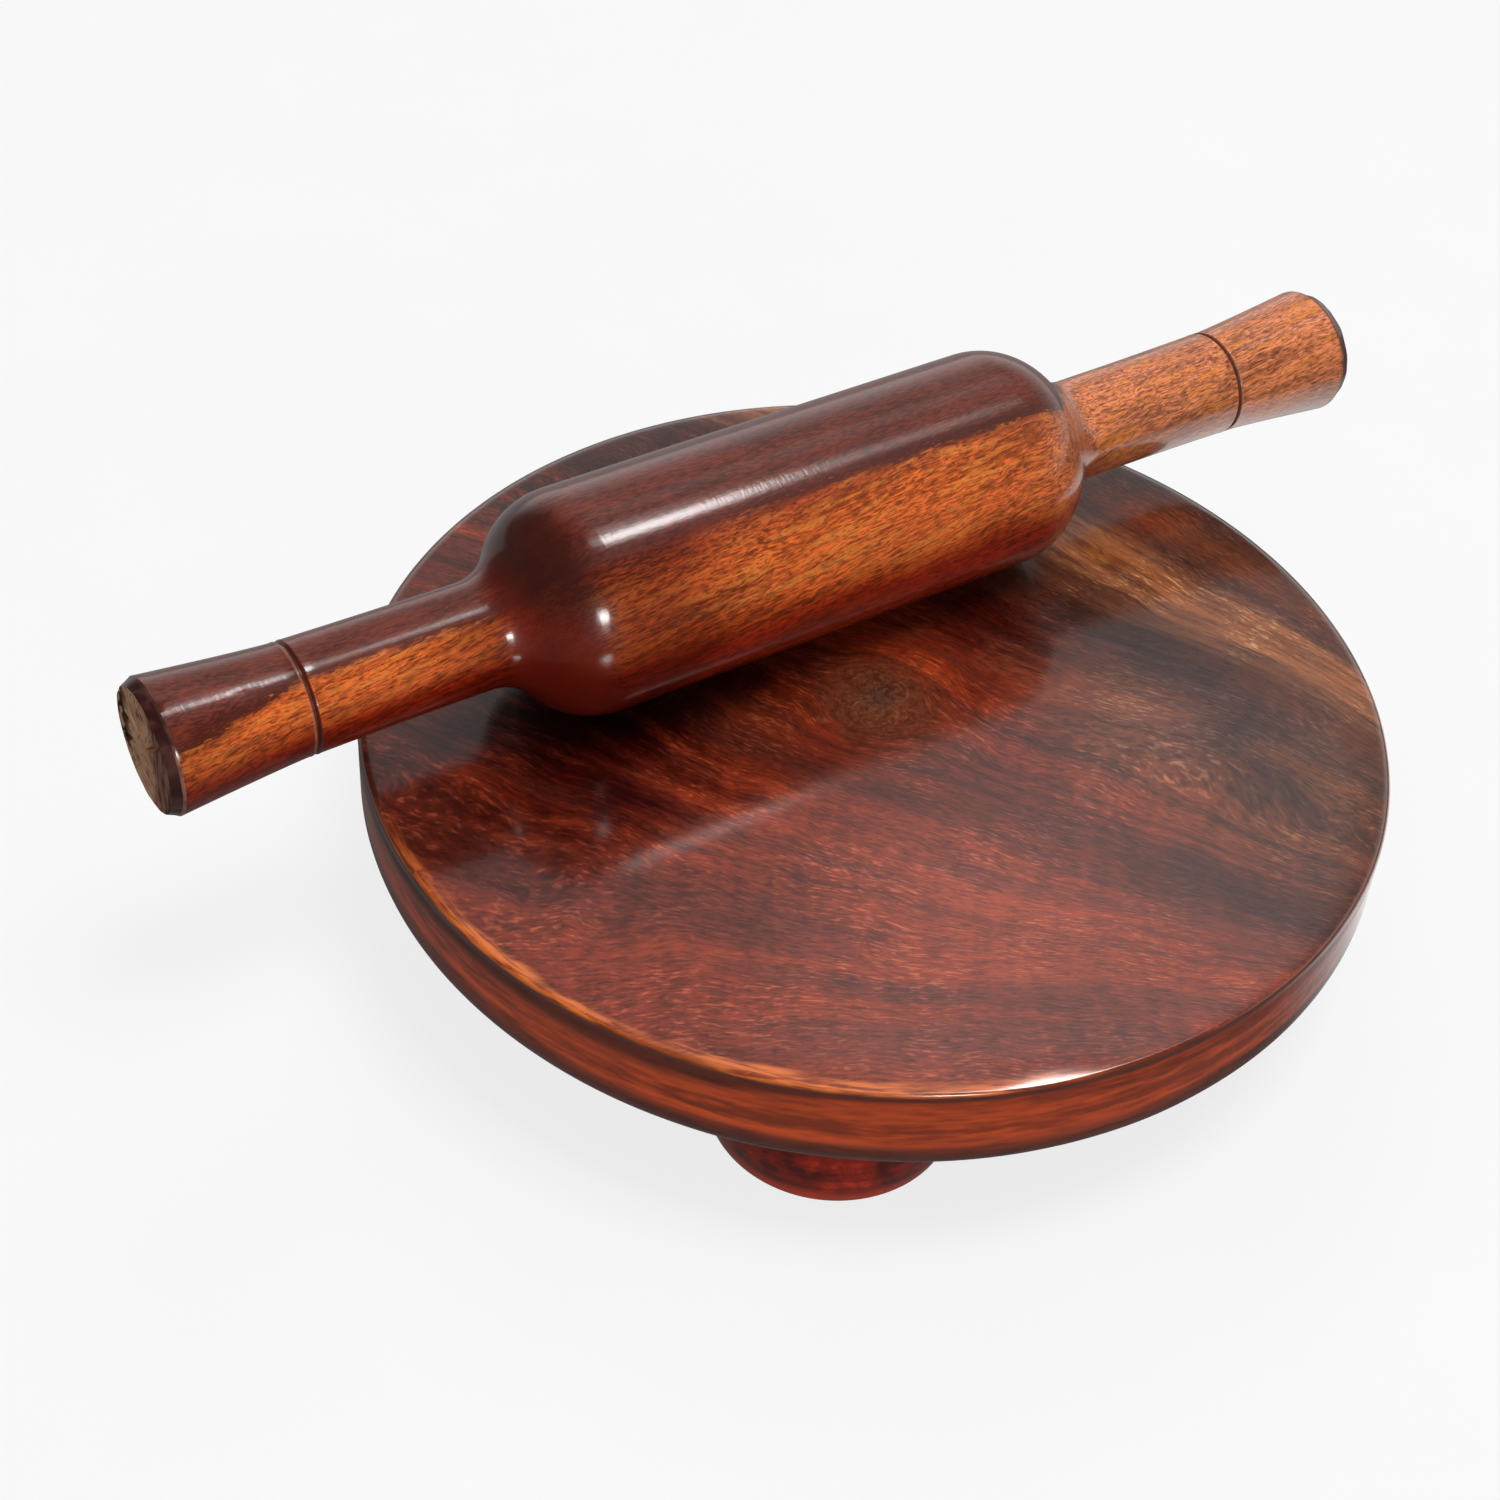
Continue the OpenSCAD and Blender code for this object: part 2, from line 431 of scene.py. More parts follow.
    def mix(self, share, first, second, how="MIX"):
        """Colour that turns from first into second as share goes from 0 to 1. The node keeps its
        colours apart from its numbers, in inputs 6 and 7 and output 2."""
        colours = [c if isinstance(c, bpy.types.NodeSocket) else (*c, 1.0) for c in (first, second)]
        inputs = {0: share, 6: colours[0], 7: colours[1]}
        return self.add("ShaderNodeMix", inputs, data_type="RGBA", blend_type=how).outputs[2]

    def tinted(self, colour, tint):
        """Colour multiplied by a tint, channel by channel."""
        return self.mix(1.0, colour, tint, "MULTIPLY")

    def times(self, colour, amount):
        """Colour or point with all three of its parts multiplied by amount."""
        node = self.add("ShaderNodeVectorMath", {0: colour, "Scale": amount}, operation="SCALE")
        return node.outputs[0]

    def bump(self, height, depth):
        """Surface direction for a relief this many millimetres deep."""
        inputs = {"Height": height, "Distance": depth * MM, "Strength": 1.0}
        return self.add("ShaderNodeBump", inputs).outputs[0]

    def glow(self, strength):
        """White light of this strength."""
        return self.add("ShaderNodeEmission", {"Strength": strength}).outputs[0]

    def close(self, surface, output="ShaderNodeOutputMaterial"):
        """Ends the tree with its output and gives what it belongs to."""
        self.add(output, {"Surface": surface})
        return self.owner

    def lacquer(self, colour, roughness, relief, skin, gloss):
        """Stained wood under clear lacquer. relief and skin are the two layers' directions, and gloss
        is the lacquer's refractive index."""
        inputs = {
            "Base Color": colour,
            "Roughness": roughness,
            "Normal": relief,
            "Specular IOR Level": 0.12,
            "Coat Weight": 1.0,
            "Coat Roughness": 0.13,
            "Coat IOR": gloss,
            "Coat Normal": skin,
        }
        return self.close(self.add("ShaderNodeBsdfPrincipled", inputs).outputs[0])


def new_finish(name):
    """An empty material to build a finish in."""
    return Finish(bpy.data.materials.new(name))


# Heights and reach that the finishes start from, in millimetres
BOARD_BOTTOM_MM = BOARD_LOW.z * PER_MM
BOARD_TOP_MM = BOARD_HIGH.z * PER_MM
BOARD_RADIUS_MM = BOARD_RADIUS * PER_MM
PIN_END_MM = PIN_HIGH.x * PER_MM

# Figure of the board: its grain lines run together at FAN, swirl round KNOT and bulge past SWELL.
# These are millimetres on the model's own axes.
FAN = Vector((160.0, -215.0))
KNOT = Vector((3.8, -2.5))
KNOT_RADIUS = 11.0
KNOT_SOFTNESS = 5.0
SWELL = Vector((58.0, -46.0))
SWELL_REACH = 46.0
SWELL_PUSH = 7.0
# The middle stretch of grain leans this much more than the fan does
MIDDLE_LEAN = 0.19
# Streaks that stand out, as (distance across the grain from the knot, half width, softness, share)
DARK_STREAKS = (
    (13.0, 0.4, 1.6, 0.60),
    (20.0, 5.0, 8.0, 0.48),
    (3.5, 0.3, 1.4, 0.50),
    (8.0, 0.3, 1.3, 0.50),
    (-7.0, 0.3, 1.4, 0.40),
    (-17.0, 0.5, 2.4, 0.35),
    (-36.0, 1.2, 4.0, 0.40),
    (-61.0, 4.5, 8.0, 0.40),
    (60.0, 0.4, 2.0, 0.30),
)
LIGHT_STREAKS = (
    (-81.5, 6.5, 9.0, 0.82),
    (-66.0, 1.5, 4.0, 0.30),
)
# Broad patches of other wood, and painted shadow of the pin, as (x, y, reach, share, colour)
WOOD_AND_SHADOW_PATCHES = (
    # The first three patches, dark red just in front of the pin, are darker wood and also painted
    # shadow of the pin
    (-72.0, 16.0, 56.0, 0.96, (0.034, 0.0010, 0.0003)),
    (-30.0, 24.0, 42.0, 0.96, (0.018, 0.0008, 0.0003)),
    (-66.0, 24.0, 30.0, 0.96, (0.009, 0.0005, 0.0002)),
    (-26.0, 0.0, 18.0, 0.70, (0.190, 0.0260, 0.0070)),
    (40.0, 10.0, 32.0, 0.88, (0.034, 0.0020, 0.0010)),
    (20.0, 2.0, 11.0, 0.55, (0.220, 0.0280, 0.0070)),
    (82.0, 17.0, 6.0, 0.35, (0.400, 0.1300, 0.0160)),
    (98.0, 24.0, 22.0, 0.70, (0.150, 0.0230, 0.0050)),
    (-56.0, -48.0, 24.0, 0.20, (0.060, 0.0120, 0.0070)),
    (-6.0, -64.0, 40.0, 0.35, (0.240, 0.0380, 0.0150)),
    (67.0, -3.0, 17.0, 0.80, (0.020, 0.0090, 0.0080)),
    (74.0, -16.0, 18.0, 0.85, (0.018, 0.0080, 0.0080)),
    (78.0, -30.0, 15.0, 0.75, (0.024, 0.0100, 0.0090)),
    (73.0, -50.0, 14.0, 0.70, (0.024, 0.0100, 0.0090)),
    (66.0, -70.0, 15.0, 0.70, (0.022, 0.0090, 0.0080)),
    (52.0, -38.0, 30.0, 0.55, (0.150, 0.0460, 0.0240)),
    (82.0, -74.0, 34.0, 0.50, (0.130, 0.0380, 0.0120)),
    (48.0, -96.0, 28.0, 0.45, (0.050, 0.0120, 0.0080)),
    (4.0, 112.0, 80.0, 0.90, (0.040, 0.0060, 0.0030)),
)
# Tints that the wood drifts between
COOL_TINT = (0.78, 0.86, 1.15)
WARM_TINT = (1.22, 1.16, 0.95)
# Dark and light colour of the knot's heart and of the eye in it, and the painted shade under the
# arris
KNOT_BROWN = ((0.060, 0.016, 0.006), (0.170, 0.055, 0.020))
KNOT_GREY = ((0.030, 0.017, 0.012), (0.100, 0.058, 0.038))
UNDER_ARRIS_PAINTED_SHADE = (0.045, 0.0100, 0.0050)
# How much brighter a fleck is than the tinted wood
FLECK_LIGHT = 3.5
# Length of the streaks round the worn arris, in millimetres of noise for each radian
RIM_STREAK = 13.0


def board_grain(finish, x, y, spot):
    """Distances along and across the board's grain lines, which fan out and pass round the knot, and
    the square of the distance from the knot."""
    fan_x = finish.sums("SUBTRACT", x, FAN.x)
    fan_y = finish.sums("SUBTRACT", y, FAN.y)
    to_knot = KNOT - FAN
    along = finish.sums("SUBTRACT", finish.length(fan_x, fan_y), to_knot.length)
    bearing = finish.sums("ARCTAN2", fan_y, fan_x)
    turned_by = finish.sums("SUBTRACT", bearing, math.atan2(to_knot.y, to_knot.x))
    across = finish.product(turned_by, to_knot.length)
    gap = finish.sums("POWER", finish.length(along, across), 2.0)
    pull = finish.sums("DIVIDE", KNOT_RADIUS ** 2, finish.sums("ADD", gap, KNOT_SOFTNESS ** 2))
    along_knot = finish.product(along, finish.sums("MULTIPLY_ADD", pull, 0.5, 1.0))
    across_knot = finish.product(across, finish.sums("SUBTRACT", 1.0, pull))
    in_middle = finish.product(finish.ease(across, -30.0, 10.0), finish.ease(across, 90.0, 45.0))
    lean = finish.product(in_middle, MIDDLE_LEAN, along)
    swell = finish.ease(finish.distance(x, y, SWELL), 0.0, SWELL_REACH, SWELL_PUSH, 0.0)
    slow = finish.sums("MULTIPLY_ADD", finish.noise(spot, 60.0, 1), 16.0, -8.0)
    quick = finish.sums("MULTIPLY_ADD", finish.noise(spot, 17.0, 2), 4.0, -2.0)
    parts = [(part, 1.0) for part in (across_knot, lean, swell, slow, quick)]
    return along_knot, finish.blend(*parts), gap


def board_wood(look):
    """Figured red-brown board under gloss lacquer."""
    finish = new_finish("lacquered_board_wood")
    x, y, z = finish.place()
    spot = finish.point(x, y, z)
    along, across, gap = board_grain(finish, x, y, spot)
    streaky = finish.grained(along, across, z)
    bands = streaky(0.12, 19.0, 3)
    streaks = streaky(0.09, 3.4, 4, 3.0)
    fibres = streaky(0.17, 0.55, 5)
    figure = finish.noise(finish.stretched((along, across, z), (1.0, 0.3, 1.0)), 5.0, 11)
    plain = board_patches(finish, look, x, y, streaks, finish.noise(spot, 22.0, 14, 3.0))
    hue = finish.ease(streaky(0.11, 12.0, 21), 0.40, 0.60)
    plain = finish.tinted(plain, finish.mix(hue, COOL_TINT, WARM_TINT))
    tone = finish.blend((bands, 0.22), (streaks, 0.20), (fibres, 0.38), (figure, 0.20))
    colour = finish.times(plain, finish.ease(tone, 0.39, 0.61, 0.62, 1.60))
    colour = board_streaks(finish, look, colour, across, streaky)
    colour = board_knot(finish, colour, gap, spot)
    colour = board_flecks(finish, look, colour, gap, spot, streaky)
    colour = board_wall(finish, look, colour, x, y, z)
    colour = board_worn_edge(finish, look, colour, x, y, z, streaks)
    roughness = finish.ease(streaks, 0.3, 0.7, 0.35, 0.50)
    peel = finish.noise(spot, 2.6, 10, 1.0)
    skin = finish.bump(finish.blend((peel, 0.6), (fibres, 0.6)), 0.010)
    return finish.lacquer(colour, roughness, finish.bump(fibres, 0.012), skin, look.gloss)


def board_patches(finish, look, x, y, streaks, clouds):
    """Plain wood, brown at the right and red elsewhere, with broad patches of other wood in it, and
    dark patches in front of the pin that are also painted shadow.
    """
    right_of = finish.sums("MULTIPLY_ADD", clouds, 60.0, x)
    plain = finish.mix(finish.ease(right_of, 45.0, 95.0), look.red, look.brown)
    for patch_x, patch_y, reach, strength, patch_colour in WOOD_AND_SHADOW_PATCHES:
        away = finish.distance(x, y, (patch_x, patch_y))
        uneven = finish.blend((away, 1.0), (streaks, 1.1 * reach), (clouds, 0.9 * reach))
        share = finish.ease(uneven, 1.1 * reach, 1.95 * reach, strength, 0.0)
        plain = finish.mix(share, plain, patch_colour)
    return plain


def board_streaks(finish, look, colour, across, streaky):
    """The dark and the golden streaks that stand out, each broken up along its length."""
    for middle, half, soft, strength in DARK_STREAKS:
        line = finish.band(across, middle, half, soft)
        patchy = finish.ease(streaky(0.03, 9.0, middle), 0.30, 0.58, 0.25, strength)
        colour = finish.mix(finish.product(line, patchy), colour, look.dark)
    for middle, half, soft, strength in LIGHT_STREAKS:
        line = finish.band(across, middle, half, soft)
        patchy = finish.ease(streaky(0.10, 2.6, middle), 0.34, 0.64, 0.2 * strength, strength)
        colour = finish.mix(finish.product(line, patchy), colour, look.gold)
    return colour


def board_flecks(finish, look, colour, gap, spot, streaky):
    """Clusters of fine light flecks, fewer near the knot, and dark pores."""
    clusters = finish.product(
        finish.ease(finish.noise(spot, 20.0, 6), 0.40, 0.60, 0.30, 1.0),
        finish.ease(gap, 100.0, 320.0, 0.35, 1.0))
    dashes = finish.ease(streaky(0.20, 0.52, 7, 1.0), 0.53, 0.70)
    lit = finish.times(finish.tinted(colour, look.fleck), FLECK_LIGHT)
    colour = finish.mix(finish.product(dashes, clusters), colour, lit)
    pores = finish.ease(streaky(0.20, 0.50, 8, 1.0), 0.57, 0.73, 0.0, 0.45)
    return finish.mix(pores, colour, look.dark)


def board_knot(finish, colour, gap, spot):
    """The knot's mottled golden-brown heart round a small grey eye."""
    blotches = finish.noise(spot, 5.0, 9, 3.0)
    specks = finish.noise(spot, 1.1, 19, 3.0, 0.7)
    distance = finish.sums("MULTIPLY_ADD", blotches, 14.0, finish.sums("SQRT", gap))
    heart = finish.ease(distance, 26.0, 13.0, 0.0, 0.75)
    eye = finish.ease(distance, 14.0, 8.0, 0.0, 0.80)
    light = finish.ease(finish.blend((specks, 0.7), (blotches, 0.3)), 0.38, 0.62)
    wood = finish.mix(eye, finish.mix(light, *KNOT_BROWN), finish.mix(light, *KNOT_GREY))
    return finish.mix(heart, colour, wood)


def board_wall(finish, look, colour, x, y, z):
    """Level streaks round the wall: brown in the middle, dark below, partly as painted shade, and
    painted shade under the arris.
    """
    facing_z = finish.facing()[2]
    broad = finish.noise(finish.stretched((x, y, z), (0.04, 0.04, 1.0)), 4.6, 15)
    fine = finish.noise(finish.stretched((x, y, z), (0.16, 0.16, 1.0)), 1.3, 16)
    level = finish.blend((z, 1.0), (broad, 7.0))
    # Darker towards the bottom: darker wood and painted shade of the lower edge
    rise = finish.ease(level, BOARD_BOTTOM_MM + 11.5, BOARD_BOTTOM_MM + 17.0)
    upper = finish.ease(level, BOARD_BOTTOM_MM + 18.0, BOARD_BOTTOM_MM + 25.0, 1.0, 0.70)
    tone = finish.blend((broad, 0.62), (fine, 0.38))
    wood = finish.mix(rise, look.wall_dark, look.wall)
    wood = finish.times(wood, finish.product(finish.ease(tone, 0.37, 0.63, 0.50, 1.50), upper))
    # Painted shade under the arris, reaching further down at the left
    left = finish.ease(x, -62.0, -100.0)
    below = finish.sums("SUBTRACT", BOARD_TOP_MM - 0.6, z)
    reach = finish.blend((left, 3.2), (broad, 2.0), (1.0, 1.4))
    painted_arris_shade = finish.ease(finish.sums("DIVIDE", below, reach), 0.70, 1.35, 0.78, 0.0)
    wood = finish.mix(painted_arris_shade, wood, UNDER_ARRIS_PAINTED_SHADE)
    steep = finish.ease(finish.sums("ABSOLUTE", facing_z), 0.90, 0.60)
    return finish.mix(steep, colour, wood)


def board_worn_edge(finish, look, colour, x, y, z, streaks):
    """Stain rubbed thin along the arris in fine broken streaks, most of all at the front left."""
    from_x = finish.sums("SUBTRACT", x, BOARD_MIDDLE.x * PER_MM)
    radius = finish.length(from_x, y)
    round_rim = finish.product(finish.sums("ARCTAN2", y, from_x), RIM_STREAK)
    rim_spot = finish.point(round_rim, radius, z)
    shreds = finish.ease(finish.noise(rim_spot, 1.0, 17), 0.34, 0.60, 0.15, 1.0)
    patchy = finish.ease(finish.noise(rim_spot, 3.5, 18), 0.36, 0.56, 0.35, 1.0)
    uneven = finish.sums("MULTIPLY_ADD", streaks, 5.0, radius)
    rim = finish.ease(uneven, BOARD_RADIUS_MM - 1.2, BOARD_RADIUS_MM + 0.8)
    near_top = finish.ease(z, BOARD_TOP_MM - 1.9, BOARD_TOP_MM - 0.9)
    frontness = finish.blend((from_x, -0.80 / BOARD_RADIUS_MM), (y, -0.60 / BOARD_RADIUS_MM))
    where = finish.ease(frontness, 0.62, 0.93, 0.0, 0.9)
    return finish.mix(finish.product(rim, near_top, where, shreds, patchy), colour, look.edge)


# Direction of the front foot's grain, and how much further each next foot's is turned, in degrees
FIRST_GRAIN = 38
NEXT_GRAIN = 64


def foot_wood(look, which):
    """Dark red turned foot, with painted light on its lower outer side. Each foot is cut with its
    grain lying another way.
    """
    finish = new_finish("lacquered_foot_wood_" + FEET[which])
    x, y, z = finish.place(middle_of("foot_" + FEET[which]))
    turn = math.radians(FIRST_GRAIN + NEXT_GRAIN * which)
    level_x = finish.blend((x, math.cos(turn)), (y, math.sin(turn)))
    level_y = finish.blend((y, math.cos(turn)), (x, -math.sin(turn)))
    spot = finish.point(x, y, z)
    wander = finish.sums("MULTIPLY_ADD", finish.noise(spot, 22.0, 1 + which), 6.0, level_y)
    streaky = finish.grained(level_x, wander, z, 5 * which)
    streaks = streaky(0.12, 6.5, 2)
    fibres = streaky(0.12, 0.8, 3)
    turned_lines = finish.noise(finish.stretched((x, y, z), (0.05, 0.05, 1.0)), 1.1, 5)
    tone = finish.blend((streaks, 0.70), (fibres, 0.14), (turned_lines, 0.16))
    colour = finish.mix(finish.ease(tone, 0.38, 0.56), look.dark, look.red)
    colour = finish.mix(finish.ease(tone, 0.54, 0.68, 0.0, 0.6), colour, look.light)
    # Painted light: the lower outer side is lighter, as if lit by light bounced from the floor
    painted_bounce_light = finish.product(
        finish.ease(z, -5.0, -9.5, 0.0, 0.75), finish.ease(finish.facing()[2], -0.90, -0.45),
        finish.ease(finish.length(x, y), 10.0, 16.0))
    colour = finish.mix(painted_bounce_light, colour, look.light)
    pores = finish.ease(streaky(0.14, 0.6, 4, 1.0), 0.63, 0.76, 0.0, 0.4)
    colour = finish.mix(pores, colour, look.dark)
    roughness = finish.ease(streaks, 0.3, 0.7, 0.36, 0.50)
    peel = finish.noise(spot, 2.4, 4, 1.0)
    skin = finish.bump(finish.blend((peel, 0.7), (fibres, 0.6)), 0.010)
    return finish.lacquer(colour, roughness, finish.bump(fibres, 0.012), skin, look.gloss)


# Edge of the pin's dark heartwood: the angle that it keeps along the barrel, up from the front
HEART_ANGLE = math.radians(57)
# Darker lines in the heartwood, and its darker rim
HEART_LINES = (0.022, 0.006, 0.005)
HEART_RIM = (0.045, 0.010, 0.008)
# Painted shade that makes the orange wood darker and redder: beside the heartwood, at the barrel's
# left end and below
BESIDE_PAINTED_SHADE = (0.52, 0.36, 0.45)
LEFT_PAINTED_SHADE = (0.38, 0.24, 0.27)
BELOW_PAINTED_SHADE = (0.50, 0.13, 0.07)
# Stain on the shoulders, low down and on top, and the dark and light of the bevels' stain
SHOULDER_STAIN = ((0.140, 0.009, 0.003), (0.040, 0.0075, 0.0055))
BEVEL_STAIN = ((0.026, 0.0080, 0.0070), (0.075, 0.0240, 0.0180))
# Colour of the pale lips, and where stain has gathered in a cut ring
PALE_LIP = (0.43, 0.185, 0.115)
RING_BOTTOM = (0.070, 0.018, 0.010)


def ring_place(look):
    """Distance of the cut rings from the pin's middle, in millimetres."""
    return (PIN_HIGH.x - look.ring_inset) * PER_MM


def above_heart_edge(finish, look, s, y, z, ragged):
    """How far a spot lies inside the pin's dark heartwood, in millimetres from its edge."""
    height = finish.blend((y, math.sin(HEART_ANGLE)), (z, math.cos(HEART_ANGLE)))
    past_ring = finish.sums("MINIMUM", finish.sums("ADD", s, ring_place(look)), 0.0)
    left_dip = finish.product(past_ring, 0.225)
    right_rise = finish.ease(s, 66.0, 88.0, 0.0, 17.0)
    uneven = finish.sums("SUBTRACT", ragged, 0.5)
    return finish.blend((height, 1.0), (left_dip, -1.0), (right_rise, -1.0), (uneven, 3.2))


def pin_wood(look):
    """Two-toned turned pin: orange wood with fine dark fibres below, dark heartwood above."""
    finish = new_finish("lacquered_pin_wood")
    s, y, z = finish.place(PIN_MIDDLE)
    spot = finish.point(s, y, z)
    slow = finish.noise(finish.stretched((s, y, z), (0.5, 1.0, 1.0)), 40.0, 1)
    squeezed = finish.noise(finish.stretched((s, y, z), (1.0, 0.3, 0.3)), 4.5, 12, 1.0)
    waves = finish.product(squeezed, finish.ease(s, 0.0, 92.0, 0.8, 1.8))
    sway = finish.sums("MULTIPLY_ADD", slow, 9.0, y)
    rise = finish.blend((s, -0.15), (z, 1.0), (waves, 1.0))
    streaky = finish.grained(s, sway, rise)
    streaks = streaky(0.06, 3.0, 2, 3.0)
    fibres = streaky(0.15, 0.44, 3)
    broad = streaky(0.30, 15.0, 4)
    inside = above_heart_edge(finish, look, s, y, z, streaky(0.12, 2.6, 5, 3.0))
    tone = finish.blend((streaks, 0.28), (broad, 0.22), (fibres, 0.50))
    below = pin_open_wood(finish, look, s, spot, tone, streaky)
    # Painted shade on the orange wood: beside the heartwood, at the barrel's left end and on its
    # underside
    below = pin_painted_shade(finish, below, s, z, broad, inside)
    above = pin_heartwood(finish, look, inside, tone, streaky)
    feathered = finish.blend((inside, 1.0), (fibres, 7.0))
    colour = finish.mix(finish.ease(feathered, 2.2, 4.4), below, above)
    colour = pin_stain(finish, colour, s, z, spot)
    colour = pin_rings(finish, look, colour, s, z, spot)
    roughness = finish.ease(streaks, 0.3, 0.7, 0.35, 0.50)
    peel = finish.noise(spot, 2.4, 9, 1.0)
    ripples = finish.noise(finish.stretched((s, y, z), (1.0, 0.25, 0.25)), 0.9, 14, 1.0)
    skin = finish.bump(finish.blend((peel, 0.5), (fibres, 0.8), (ripples, 1.6)), 0.012)
    return finish.lacquer(colour, roughness, finish.bump(fibres, 0.014), skin, look.gloss)


def pin_open_wood(finish, look, s, spot, tone, streaky):
    """The orange wood, paler to the right, with golden streaks and dark dashes in it."""
    colour = finish.mix(finish.ease(s, 40.0, 92.0), look.orange, look.pale)
    colour = finish.times(colour, finish.ease(tone, 0.40, 0.62, 0.50, 1.55))
    golden = finish.ease(streaky(0.08, 1.6, 13, 1.0), 0.50, 0.66, 0.0, 0.62)
    colour = finish.mix(golden, colour, look.golden)
    thick = finish.ease(finish.noise(spot, 18.0, 7), 0.35, 0.65, 0.30, 0.65)
    dashes = finish.ease(streaky(0.13, 0.46, 6, 1.0), 0.50, 0.66)
    colour = finish.mix(finish.product(dashes, thick), colour, look.pore)
    short = finish.ease(streaky(0.24, 0.42, 10, 1.0), 0.56, 0.70, 0.0, 0.60)
    return finish.mix(short, colour, look.pore)


def pin_heartwood(finish, look, inside, tone, streaky):
    """The dark heartwood, with darker lines along it and a darker rim."""
    colour = finish.times(look.purple, finish.ease(tone, 0.38, 0.64, 0.55, 1.50))
    lines = finish.ease(streaky(0.08, 0.9, 8, 1.0), 0.54, 0.70, 0.0, 0.35)
    colour = finish.mix(lines, colour, HEART_LINES)
    rim = finish.ease(inside, 4.5, 0.5, 0.0, 0.45)
    return finish.mix(rim, colour, HEART_RIM)


def pin_painted_shade(finish, colour, s, z, broad, inside):
    """Painted shade, darker and redder, on the orange wood: beside the heartwood, at the left end and
    below.
    """
    # Painted shade just below the heartwood's edge, on the left part of the barrel
    beside = finish.product(
        finish.ease(inside, -10.0, -0.5), finish.ease(s, 30.0, -25.0, 0.15, 0.80),
        finish.ease(s, -74.0, -60.0))
    colour = finish.mix(beside, colour, finish.tinted(colour, BESIDE_PAINTED_SHADE))
    # Painted shade at the barrel's left end
    left = finish.band(finish.sums("MULTIPLY_ADD", broad, 30.0, s), -46.0, 14.0, 26.0)
    colour = finish.mix(finish.product(left, 0.85), colour, finish.tinted(colour, LEFT_PAINTED_SHADE))
    # Painted shade on the barrel's underside
    height = finish.sums("MULTIPLY_ADD", broad, 10.0, z)
    below = finish.product(finish.ease(height, 13.0, 2.0), finish.ease(s, 92.0, 62.0))
    return finish.mix(below, colour, finish.tinted(colour, BELOW_PAINTED_SHADE))


def pin_stain(finish, colour, s, z, spot):
    """Dark red stain where the turning cuts across the grain: shoulders, coves and bevels."""
    across = finish.ease(finish.sums("ABSOLUTE", finish.facing()[0]), 0.12, 0.50, 0.0, 0.92)
    share = finish.product(across, finish.ease(s, 60.0, 20.0, 0.45, 1.0))
    stain = finish.mix(finish.ease(z, 6.0, 18.0), *SHOULDER_STAIN)
    colour = finish.mix(share, colour, finish.mix(0.92, colour, stain))
    bevel = finish.ease(finish.sums("ABSOLUTE", s), PIN_END_MM - 3.3, PIN_END_MM - 2.5)
    mottled = finish.mix(finish.ease(finish.noise(spot, 4.0, 15), 0.40, 0.62), *BEVEL_STAIN)
    return finish.mix(finish.product(bevel, 0.92), colour, mottled)


def pin_rings(finish, look, colour, s, z, spot):
    """A dark bottom and one patchy pale lip at each cut ring, and a pale lip round each end, paler
    low down.
    """
    ring_at = ring_place(look)
    away = finish.sums("ABSOLUTE", s)
    lip = finish.band(away, ring_at + 0.75, 0.25, 0.35)
    lip = finish.product(lip, finish.ease(z, 6.0, -2.0, 0.35, 0.80))
    end_lip = finish.band(away, (PIN_HIGH.x - look.bevel) * PER_MM + 0.15, 0.20, 0.25)
    end_lip = finish.product(end_lip, finish.ease(z, 11.0, 6.0, 0.12, 1.0))
    worn = finish.ease(finish.noise(spot, 3.0, 11), 0.35, 0.6, 0.30, 0.85)
    pale = finish.product(finish.sums("MAXIMUM", lip, end_lip), worn)
    colour = finish.mix(pale, colour, PALE_LIP)
    bottom = finish.band(away, ring_at, 0.35, 0.35)
    return finish.mix(finish.product(bottom, 0.70), colour, RING_BOTTOM)


# The pin's sawn ends: the heart that the rings run round, as (y, z) from the pin's axis, and the
# colours of the rings, of blots and pores, of stained wood and of chips
SAWN_HEART = (-6.0, 15.0)
SAWN_RINGS = ((0.540, 0.270, 0.170), (0.780, 0.420, 0.270))
SAWN_BLOT = (0.035, 0.015, 0.012)
SAWN_PORE = (0.090, 0.038, 0.024)
SAWN_STAIN = ((0.080, 0.0350, 0.0300), (0.330, 0.1500, 0.1150))
SAWN_CHIP = (0.016, 0.009, 0.007)


